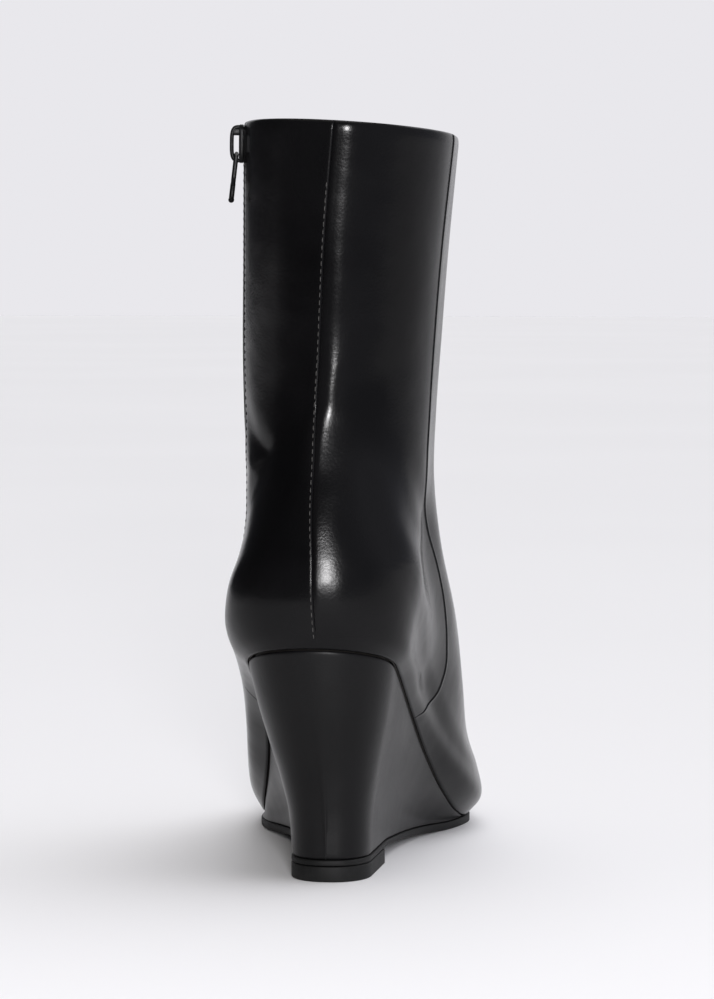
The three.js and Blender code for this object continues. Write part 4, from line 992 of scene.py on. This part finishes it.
def tape_shape():
    """Zip tape: a thin wall behind the slot, raised in its middle where the teeth are clamped on."""
    rows, columns, row_length = 110, 33, 1.5
    level, turn, across = strip_grid(ZIP_TAPE_WIDTH, ZIP_LENGTH + TAPE_TAIL, TAPE_START, rows, columns)
    normal = skin_normal(level, turn)
    edges = rim(ZIP_TAPE_WIDTH / 2 - np.abs(across), TAPE_RIM)
    row = np.arange(rows)
    full = edges * rim(np.minimum(row, rows - 1 - row) * row_length, TAPE_RIM)[:, None]
    ending = 1 - ease(zip_drop(level), ZIP_LENGTH - 4, ZIP_LENGTH - 1)
    raised = CORD_HEIGHT * (1 - ease(np.abs(across), *CORD_EDGE)) * ending
    half = ZIP_TAPE_THICKNESS / 2
    centre = skin(level, turn) - normal * (WALL + GAP + TAPE_EASE + half)
    front = centre + normal * ((half + raised) * full)[..., None]
    behind = centre - normal * (half * full)[..., None]
    return thick_sheet(front, behind)


def strip_frame(drop, across, depth):
    """Places on the zip's strip with their own axes: across the zip, up it and out of the leather."""
    level = zip_level(drop)
    turn = zip_turn(level) + across / inner_length(level)
    out = skin_normal(level, turn)
    ahead = skin(zip_level(np.maximum(drop - 1, 0)), turn) - skin(level, turn)
    side = unit(np.cross(unit(ahead), out))
    return skin(level, turn) - out * np.asarray(depth)[..., None], side, unit(np.cross(out, side)), out


TOOTH_PITCH, TOOTH_ASIDE, TOOTH_DEPTH = 1.7, 0.55, 1.35
BLOCK_LEVELS = ((0.0, 0.86), (0.12, 1.0), (0.8, 1.0), (0.94, 0.9), (1.0, 0.68))


def signed_power(value, power):
    """A power that keeps the sign."""
    return np.sign(value) * np.abs(value) ** power


def loop(count, power):
    """A superellipse round the unit square, anticlockwise."""
    angle = np.linspace(0, 2 * np.pi, count, endpoint=False) + np.pi / count
    return signed_power(np.cos(angle), 2 / power), signed_power(np.sin(angle), 2 / power)


def block_rings(origin, side, up, out, half_side, half_up, height, power=4.0):
    """Small rounded blocks: superellipse rings across and up, which narrow at both ends of their height."""
    x, y = loop(12, power)
    wide, long = side[:, None] * (x * half_side)[:, None], up[:, None] * (y * half_up)[:, None]
    rings = []
    for lift, size in BLOCK_LEVELS:
        rings.append(origin[:, None] + (wide + long) * size + (out * (height * lift))[:, None])
    return np.stack(rings, axis=1)


def teeth_shape():
    """Zip teeth: two rows of small blocks that reach past the middle in turn, and a stop at the lower end."""
    low = ZIP_LENGTH - SLOT_CLOSING + 1
    drops = np.arange(SLIDER_DROP + 5, low, TOOTH_PITCH / 2)
    hand = np.where(np.arange(len(drops)) % 2 == 0, 1.0, -1.0)
    origin, side, up, out = strip_frame(drops, hand * TOOTH_ASIDE, np.full(len(drops), TOOTH_DEPTH))
    body = block_rings(origin, side, up, out, 1.45, TOOTH_PITCH * 0.24, 1.0)
    head_origin = origin - side * (hand * 0.9)[:, None] + out * 0.2
    heads = block_rings(head_origin, side, up, out, 0.5, TOOTH_PITCH * 0.33, 0.95, power=2.6)
    stop = block_rings(*strip_frame(np.array([low + 2.2]), np.array([0.0]), np.array([1.4])), 2.0, 1.5, 1.5)
    return join(closed_stack(body), closed_stack(heads), closed_stack(stop))


ACROSS, OUTWARD = (1.0, 0.0, 0.0), (0.0, 0.0, 1.0)
BRIDGE_INSIDE = PULL_WIRE + 2 * GAP
BRIDGE_REACH = SLIDER_LENGTH * 0.46
PLATE_TOP = STAND_OFF + SLIDER_PLATE
HINGE_HEIGHT = PLATE_TOP + GAP + PULL_WIRE / 2
POST_START, POST_END = 3.0, BRIDGE_REACH - 0.5
SLIDER_TAPER, FLANGE_SINK, FLANGE_INSET = 0.82, 0.2, 0.45
BRIDGE_SIDES, BRIDGE_CROWN, BRIDGE_FEET, PLATE_ROUND = 0.55, 0.62, 0.16, 0.35
POST_INSET, POST_OVERLAP, FLANGE_REACH, FLANGE_HALF, FLANGE_THICK = 0.04, 0.25, 0.42, 0.3, 0.35
ARM_CLOSING, TAB_WAIST = 0.75, 0.16
HINGE_DROP = BRIDGE_REACH - BRIDGE_METAL - BRIDGE_CORNER - GAP - PULL_WIRE / 2


def slider_axes():
    """Place and axes of the slider: across the zip, up it and out of the leather."""
    level = zip_level(SLIDER_DROP)
    place = skin(level, zip_turn(level))
    ahead_level = zip_level(SLIDER_DROP - 4)
    ahead = skin(ahead_level, zip_turn(ahead_level))
    out = skin_normal(level, zip_turn(level))
    across = unit(np.cross(unit(ahead - place), out))
    return place, np.stack([across, unit(np.cross(out, across)), out])


def on_slider(shape):
    """Moves points from the slider's own frame to the last's."""
    points, faces = shape
    place, axes = slider_axes()
    return points @ axes + place, faces


def plate_shape(width, top_width, length, low, high, round_edge):
    """A plate with round corners and edges, wider at its upper end."""
    x, y = loop(48, 5.0)
    wide = lerp(width, top_width, (y + 1) / 2) / 2
    angle = np.linspace(0, np.pi / 2, 4)
    arc = [(round_edge * (1 - np.sin(a)), round_edge * (1 - np.cos(a))) for a in angle]
    levels = [(inset, low + lift) for inset, lift in arc]
    levels += [(inset, high - drop) for inset, drop in arc[::-1]]
    stack = []
    for inset, z in levels:
        stack.append(np.column_stack([x * (wide - inset), y * (length / 2 - inset), np.full(48, z)]))
    return closed_stack(np.array(stack)[None])


def swept(path, side, half_side, half_thick, count=14, power=3.0):
    """A closed bar: a superellipse section carried along a path, with one axis along side and the other
    along the path's normal."""
    side = np.broadcast_to(side, path.shape)
    through = unit(np.cross(side, unit(np.gradient(path, axis=0))))
    x, y = loop(count, power)
    wide = side[:, None] * (x * half_side)[None, :, None]
    thick = through[:, None] * (y * half_thick)[None, :, None]
    return closed_stack((path[:, None] + wide + thick)[None])


def slider_shape():
    """Slider: a plate with a bridge over it, a post under the bridge's upper end, and side flanges."""
    narrow = SLIDER_WIDTH * SLIDER_TAPER
    plate = plate_shape(narrow, SLIDER_WIDTH, SLIDER_LENGTH, STAND_OFF, PLATE_TOP, PLATE_ROUND)
    angle = np.linspace(-BRIDGE_FEET, np.pi + BRIDGE_FEET, 41)
    metal = BRIDGE_METAL * BRIDGE_WEIGHT
    y = -signed_power(np.cos(angle), BRIDGE_SIDES) * (BRIDGE_REACH - BRIDGE_METAL + metal / 2)
    z = signed_power(np.sin(angle), BRIDGE_CROWN) * (BRIDGE_INSIDE + metal / 2) + PLATE_TOP
    parts = [plate, swept(np.column_stack([0 * y, y, z]), ACROSS, BRIDGE_WIDTH / 2, metal / 2)]
    rise = np.array([-0.2, 0.0, 0.5, 1.0]) * BRIDGE_INSIDE + [0, 0, 0, POST_OVERLAP]
    post = np.column_stack([0 * rise, 0 * rise + (POST_START + POST_END) / 2, rise + PLATE_TOP])
    parts.append(swept(post, ACROSS, BRIDGE_WIDTH / 2 - POST_INSET, (POST_END - POST_START) / 2, 20, 4.0))
    run = np.linspace(-FLANGE_REACH, FLANGE_REACH, 12) * SLIDER_LENGTH
    beside = SLIDER_WIDTH / 2 * lerp(SLIDER_TAPER, 1.0, run / SLIDER_LENGTH + 0.5) - FLANGE_INSET
    for sign in (-1, 1):
        line = np.column_stack([sign * beside, run, np.full(12, PLATE_TOP - FLANGE_SINK)])
        parts.append(swept(line, OUTWARD, FLANGE_HALF, FLANGE_THICK))
    return on_slider(join(*parts))


def pull_shape():
    """Pull: a round bar through the bridge, an eye round it, a slim waisted tab and a thicker rolled tip,
    which lean away from the leather together."""
    window = BRIDGE_REACH + HINGE_DROP + 2 * GAP
    half_eye = (BRIDGE_WIDTH + 2 * PULL_PLAY + PULL_ARM) / 2
    x = np.linspace(-1, 1, 15) * (half_eye + PULL_ARM / 2)
    parts = [swept(np.column_stack([x, 0 * x, 0 * x]), OUTWARD, PULL_WIRE / 2, PULL_WIRE / 2, 16, 2.0)]
    t = np.linspace(0, 1, 16)
    for sign in (-1, 1):
        x = sign * half_eye * (1 - ARM_CLOSING * ease(t, 0.8, 1.0))
        arm = np.column_stack([x, -t * (window + PULL_ARM * 0.9), 0 * t])
        parts.append(swept(arm, ACROSS, PULL_ARM / 2, PULL_ARM_HALF))
    tip_middle = -PULL_LENGTH + PULL_TIP_THICKNESS / 2
    t = np.linspace(0, 1, 22)
    y = lerp(-window - PULL_ARM * 0.3, tip_middle, t)
    half = PULL_TAB_WIDTH / 2 * (1 - TAB_WAIST * np.sin(np.pi * t)) * (0.8 + 0.2 * ease(t, 0.0, 0.2))
    x, z = loop(20, 3.2)
    tab = [np.column_stack([x * wide, np.full(20, at), -z * PULL_TAB_HALF]) for wide, at in zip(half, y)]
    parts.append(closed_stack(np.array(tab)[None, ::-1]))
    run = np.linspace(-1, 1, 21)
    tip = np.column_stack([run * (PULL_TIP_WIDTH - 0.02) / 2, np.full(21, tip_middle), 0 * run])
    cap = np.clip(1 - np.abs(run) ** 5, 0.0, 1) ** 0.5 * 0.98 + 0.02
    y, z = loop(16, 2.0)
    section = np.stack([0 * y, y, z], axis=-1)
    rings = tip[:, None] + section[None] * cap[:, None, None] * PULL_TIP_THICKNESS / 2
    points, faces = join(*parts, closed_stack(rings[None]))
    cos, sin = math.cos(math.radians(PULL_LEAN)), -math.sin(math.radians(PULL_LEAN))
    x, y, z = points.T
    turned = np.column_stack([x, y * cos - z * sin, y * sin + z * cos])
    return on_slider((turned + [0, -HINGE_DROP, HINGE_HEIGHT], faces))


def stitch_row(level, turn, lift, length, pitch, thick):
    """A row of stitches along a line on the leather: each one a short bowed thread, thin at both ends."""
    path = skin(level, turn) + skin_normal(level, turn) * np.asarray(lift)[..., None]
    distance = np.concatenate([[0], np.cumsum(np.linalg.norm(np.diff(path, axis=0), axis=-1))])
    starts = np.arange(pitch / 2, distance[-1] - length - 0.2, pitch)
    share = np.linspace(0, 1, THREAD_STEPS)
    wanted = starts[:, None] + share[None] * length
    level_at, turn_at = np.interp(wanted, distance, level), np.interp(wanted, distance, turn)
    lift_at = np.interp(wanted, distance, np.broadcast_to(lift, level.shape))
    out = skin_normal(level_at, turn_at)
    bow = np.sin(np.pi * share)[None] ** 0.6
    line = skin(level_at, turn_at) + out * (lift_at + (bow - 0.55) * thick)[..., None]
    ahead = unit(np.gradient(line, axis=1))
    side = unit(np.cross(out, ahead))
    x, z = loop(8, 2.0)
    fat = (0.45 + 0.55 * bow)[..., None, None] * thick / 2
    wide, high = side[:, :, None] * x[:, None] * fat, out[:, :, None] * z[:, None] * fat
    return closed_stack(line[:, :, None] - wide + high)


STITCH_PITCH, THREAD_THICKNESS, BACK_STITCHES, ZIP_STITCHES = 1.4, 0.36, 0.75, 2.3
STITCH_STEPS, THREAD_STEPS, BACK_STITCH_LEVELS, ZIP_STITCH_TOP = 700, 7, (0.5, 10.55), 10.8


def seam_stitches(sizes, level, turn):
    """One row of stitches that lies on the leather along levels and turns."""
    pitch = sizes.stitch * STITCH_PITCH
    return stitch_row(level, turn, leather_relief(level, turn), sizes.stitch, pitch, THREAD_THICKNESS)


def back_stitches_shape(sizes):
    """Stitches beside the back seam."""
    level = np.linspace(*BACK_STITCH_LEVELS, STITCH_STEPS)
    return seam_stitches(sizes, level, seam_turn(BACK_SEAM, level) - BACK_STITCHES / inner_length(level))


def zip_stitches_shape(sizes):
    """Stitches down each side of the zip, where the leather is sewn to the tape."""
    level = np.linspace(float(zip_level(ZIP_LENGTH + ZIP_FADE)), ZIP_STITCH_TOP, STITCH_STEPS)
    across = (slot_half(level) + ZIP_STITCHES) / inner_length(level)
    return join(*(seam_stitches(sizes, level, zip_turn(level) + sign * across) for sign in (-1, 1)))


# Sizes and colours that a user would change
def number(name, note, default, low=0.0, high=1000.0):
    """A setting that holds a number."""
    return bpy.props.FloatProperty(name=name, description=note, default=default, min=low, max=high)


def colour(name, note, default):
    """A setting that holds a colour."""
    return bpy.props.FloatVectorProperty(name=name, description=note, subtype="COLOR", default=default)


class BootSizes(bpy.types.PropertyGroup):
    rows: bpy.props.IntProperty(name="Rows", description="Rows of the leather's mesh", default=190, min=60)
    leather: number("Leather", "Thickness of the outer leather in mm", 1.2, 0.6, 1.6)
    fold_depth: number("Collar fold", "Depth of the leather folded inside the collar in mm", 9.0, 3.0)
    stitch: number("Stitch", "Length of one stitch in mm", 2.0, 1.0)


class BootColours(bpy.types.PropertyGroup):
    leather: colour("Leather", "Outer leather", (0.003, 0.0029, 0.0032))
    lining: colour("Lining", "Lining and sock", (0.018, 0.016, 0.0145))
    sole: colour("Sole", "Outsole and top lift", (0.004, 0.004, 0.004))
    tape: colour("Tape", "Zip tape", (0.005, 0.005, 0.0055))
    metal: colour("Metal", "Zip teeth, slider and pull", (0.006, 0.006, 0.0065))
    thread: colour("Thread", "Stitches", (0.06, 0.058, 0.056))


class StageSettings(bpy.types.PropertyGroup):
    floor: colour("Floor", "Colour of the floor", (0.86, 0.855, 0.87))
    key: number("Key light", "Power of the light near the camera in watts", 26.0)
    sky: number("Sky light", "Strength of the soft sun above", 1.62)
    room: number("Room", "Brightness of the room behind the boot", 0.82)
    left: number("Left", "Brightness of the room in front on the left", 0.045)
    right: number("Right", "Brightness of the room in front on the right", 0.44)
    overhead: number("Overhead", "Brightness of the room overhead", 0.6)
    lens: number("Lens", "Focal length of the camera in mm", 137.0, 20.0)


class BOOT_OT_upper(bpy.types.Operator):
    """Leather upper with its seams, folds and collar fold"""

    bl_idname = "boot.upper"
    bl_label = "Upper"

    def execute(self, context):
        shape, rub = upper_shape(context.scene.boot_sizes)
        make_piece("upper_leather", "leather", shape, ["upper"], marks={"rub": rub}, sharp=60)
        return {"FINISHED"}


class BOOT_OT_lining(bpy.types.Operator):
    """Lining inside the shaft and foot, and the sock on the insole"""

    bl_idname = "boot.lining"
    bl_label = "Lining and sock"

    def execute(self, context):
        shape = lining_shape(context.scene.boot_sizes)
        make_piece("lining", "sock", shape, ["upper"], finish="lining", sharp=60)
        make_piece("sock_lining", "sock", sock_shape(), ["insole"])
        return {"FINISHED"}


TREAD_START = 0.6


class BOOT_OT_heel(bpy.types.Operator):
    """Covered wedge, outsole and top lift"""

    bl_idname = "boot.heel"
    bl_label = "Wedge and soles"

    def execute(self, context):
        make_piece("wedge_cover", "heel_cover", wedge_shape(), ["wedge"], sharp=50)
        for node, shape, underside in (
            ("outsole", outsole_shape(), sole_underside), ("top_lift", top_lift_shape(), floor_height),
        ):
            y, z = shape[0][:, 1], shape[0][:, 2]
            tread = (z < underside(y) + 0.01) & ((y > TREAD_START * SHOE_LENGTH) | (node == "top_lift"))
            make_piece(node + "_rubber", "sole", shape, [node], marks={"tread": tread})
        return {"FINISHED"}


class BOOT_OT_zip(bpy.types.Operator):
    """Zip tape, teeth, slider and pull"""

    bl_idname = "boot.zip"
    bl_label = "Zip"

    def execute(self, context):
        make_piece("zip_tape_weave", "tape", tape_shape(), ["zip_tape"], sharp=60)
        make_piece("zip_teeth", "zip_metal", teeth_shape(), ["zip_chain"])
        make_piece("zip_slider_body", "zip_metal", slider_shape(), ["zip_slider"])
        make_piece("zip_pull_tab", "zip_metal", pull_shape(), ["zip_pull"], body="zip_pull")
        return {"FINISHED"}


class BOOT_OT_stitches(bpy.types.Operator):
    """Rows of stitches beside the seams and the zip"""

    bl_idname = "boot.stitches"
    bl_label = "Stitches"

    def execute(self, context):
        sizes = context.scene.boot_sizes
        make_piece("back_stitches", "leather", back_stitches_shape(sizes), finish="thread", sharp=60)
        make_piece("zip_stitches", "leather", zip_stitches_shape(sizes), finish="dark_thread", sharp=60)
        return {"FINISHED"}


class BOOT_OT_stage(bpy.types.Operator):
    """Pale floor, soft lights and the camera"""

    bl_idname = "boot.stage"
    bl_label = "Stage"

    def execute(self, context):
        stage = context.scene.boot_stage
        make_floor(stage)
        make_lights(stage)
        make_room(stage)
        make_camera(stage)
        return {"FINISHED"}


FLOOR_SIDES, FLOOR_ENDS, FLOOR_STEPS = (-6, 6), (-0.75, 14), 9


def make_floor(stage):
    """One wide flat sheet."""
    x, y = np.meshgrid(np.linspace(*FLOOR_SIDES, FLOOR_STEPS), np.linspace(*FLOOR_ENDS, FLOOR_STEPS))
    points = np.stack([x, y, 0 * x], axis=-1).reshape(-1, 3)
    mesh = bpy.data.meshes.new("floor")
    mesh.from_pydata(points.tolist(), [], grid_quads(np.arange(x.size).reshape(x.shape)).tolist())
    mesh.materials.append(floor_material(stage.floor))
    floor = bpy.data.objects.new("floor", mesh)
    bpy.context.scene.collection.objects.link(floor)


def area_light(name, place, aim, size, power, colour):
    """A soft rectangular light that faces a point."""
    data = bpy.data.lights.new(name, "AREA")
    data.shape = "RECTANGLE"
    data.size, data.size_y = size
    data.energy = power
    data.color = colour
    light = bpy.data.objects.new(name, data)
    light.location = place
    away = np.array(place) - np.array(aim)
    flat = math.hypot(away[0], away[1])
    light.rotation_euler = (math.atan2(flat, away[2]), 0, math.atan2(away[0], -away[1]))
    bpy.context.scene.collection.objects.link(light)


# Places and sizes of the lights in metres, turns in degrees, the camera's place in the last's frame in mm
KEY_PLACE, KEY_AIM, KEY_SIZE = (0.37, -1.95, 0.385), (0.0, -0.08, 0.16), (0.22, 0.28)
KEY_COLOUR = (1.0, 0.99, 1.0)
SUN_TURN, SUN_SPREAD, SUN_COLOUR = (-14, 16, 0), 70, (0.98, 0.99, 1.03)
FRONT_COLOUR, BEHIND_COLOUR, ABOVE_COLOUR = (0.93, 0.95, 1.08), (0.992, 0.983, 1.024), (1.03, 1.0, 0.95)
CAMERA_PLACE, CAMERA_TILT, CAMERA_PAN, CAMERA_SENSOR = (192.5, -1336.2, 223.5), 3.58, 7.54, 36


def make_lights(stage):
    """A light beside the camera and a high soft sun."""
    area_light("key_light", KEY_PLACE, KEY_AIM, KEY_SIZE, stage.key, KEY_COLOUR)
    data = bpy.data.lights.new("sky_light", "SUN")
    data.energy, data.angle = stage.sky, math.radians(SUN_SPREAD)
    data.color = SUN_COLOUR
    sun = bpy.data.objects.new("sky_light", data)
    sun.rotation_euler = [math.radians(turn) for turn in SUN_TURN]
    bpy.context.scene.collection.objects.link(sun)


def make_room(stage):
    """A room that is pale behind the boot and overhead, and dim in front of it, more so on the left."""
    world = bpy.data.worlds.new("room")
    world.use_nodes = True
    bpy.context.scene.world = world
    nodes, links = world.node_tree.nodes, world.node_tree.links

    def node(kind, settings, inputs):
        made = nodes.new(kind)
        for name, value in settings.items():
            setattr(made, name, value)
        for key, value in inputs.items():
            if isinstance(value, bpy.types.NodeSocket):
                links.new(value, made.inputs[key])
            else:
                made.inputs[key].default_value = value
        return made.outputs

    def ramp(value, low, high, start=0.0, end=1.0):
        inputs = {"Value": value, "From Min": low, "From Max": high, "To Min": start, "To Max": end}
        return node("ShaderNodeMapRange", {"interpolation_type": "SMOOTHSTEP"}, inputs)[0]

    def scaled(shade, strength):
        return node("ShaderNodeVectorMath", {"operation": "SCALE"}, {0: shade, "Scale": strength})[0]

    def mixed(share, low, high):
        return node("ShaderNodeMix", {"data_type": "VECTOR"}, {"Factor": share, 4: low, 5: high})[1]

    where = node("ShaderNodeTexCoord", {}, {})["Generated"]
    x, y, z = node("ShaderNodeSeparateXYZ", {}, {0: where})
    far_left = ramp(x, -0.72, -0.44, 0.4, 0.0)
    depth = node("ShaderNodeMath", {"operation": "SUBTRACT"}, {0: y, 1: far_left})[0]
    front = scaled(FRONT_COLOUR, ramp(x, -0.1, 0.7, stage.left, stage.right))
    room = mixed(ramp(depth, 0.5, 0.9), front, scaled(BEHIND_COLOUR, stage.room))
    whole = mixed(ramp(z, 0.5, 0.85), room, scaled(ABOVE_COLOUR, stage.overhead))
    links.new(whole, nodes["Background"].inputs["Color"])
    bpy.context.scene.view_settings.view_transform = "Standard"


def make_camera(stage):
    """The photograph's place and angle, with a longer lens that frames the one boot."""
    data = bpy.data.cameras.new("camera")
    data.lens = stage.lens
    data.sensor_width = CAMERA_SENSOR
    data.clip_end = 100
    camera = bpy.data.objects.new("camera", data)
    camera.location = (np.array(CAMERA_PLACE) + SHIFT) / 1000
    camera.rotation_euler = (math.radians(90 - CAMERA_TILT), 0, math.radians(CAMERA_PAN))
    bpy.context.scene.collection.objects.link(camera)
    bpy.context.scene.camera = camera


class BOOT_PT_panel(bpy.types.Panel):
    """Sizes, colours and pieces of the boot"""

    bl_label = "Boot"
    bl_idname = "BOOT_PT_panel"
    bl_space_type = "VIEW_3D"
    bl_region_type = "UI"
    bl_category = "Boot"

    def draw(self, context):
        for group in (context.scene.boot_sizes, context.scene.boot_colours, context.scene.boot_stage):
            column = self.layout.column(align=True)
            for name in group.__annotations__:
                column.prop(group, name)
        for operator in PIECES:
            self.layout.operator(operator.bl_idname)


PIECES = (BOOT_OT_upper, BOOT_OT_lining, BOOT_OT_heel, BOOT_OT_zip, BOOT_OT_stitches, BOOT_OT_stage)
GROUPS = {"boot_sizes": BootSizes, "boot_colours": BootColours, "boot_stage": StageSettings}


def register():
    for item in (*GROUPS.values(), *PIECES, BOOT_PT_panel):
        bpy.utils.register_class(item)
    for name, group in GROUPS.items():
        setattr(bpy.types.Scene, name, bpy.props.PointerProperty(type=group))


def unregister():
    for name in GROUPS:
        delattr(bpy.types.Scene, name)
    for item in reversed((*GROUPS.values(), *PIECES, BOOT_PT_panel)):
        bpy.utils.unregister_class(item)


def main():
    register()
    bpy.ops.boot.upper()
    bpy.ops.boot.lining()
    bpy.ops.boot.heel()
    bpy.ops.boot.zip()
    bpy.ops.boot.stitches()
    bpy.ops.boot.stage()


if __name__ == "__main__":
    main()
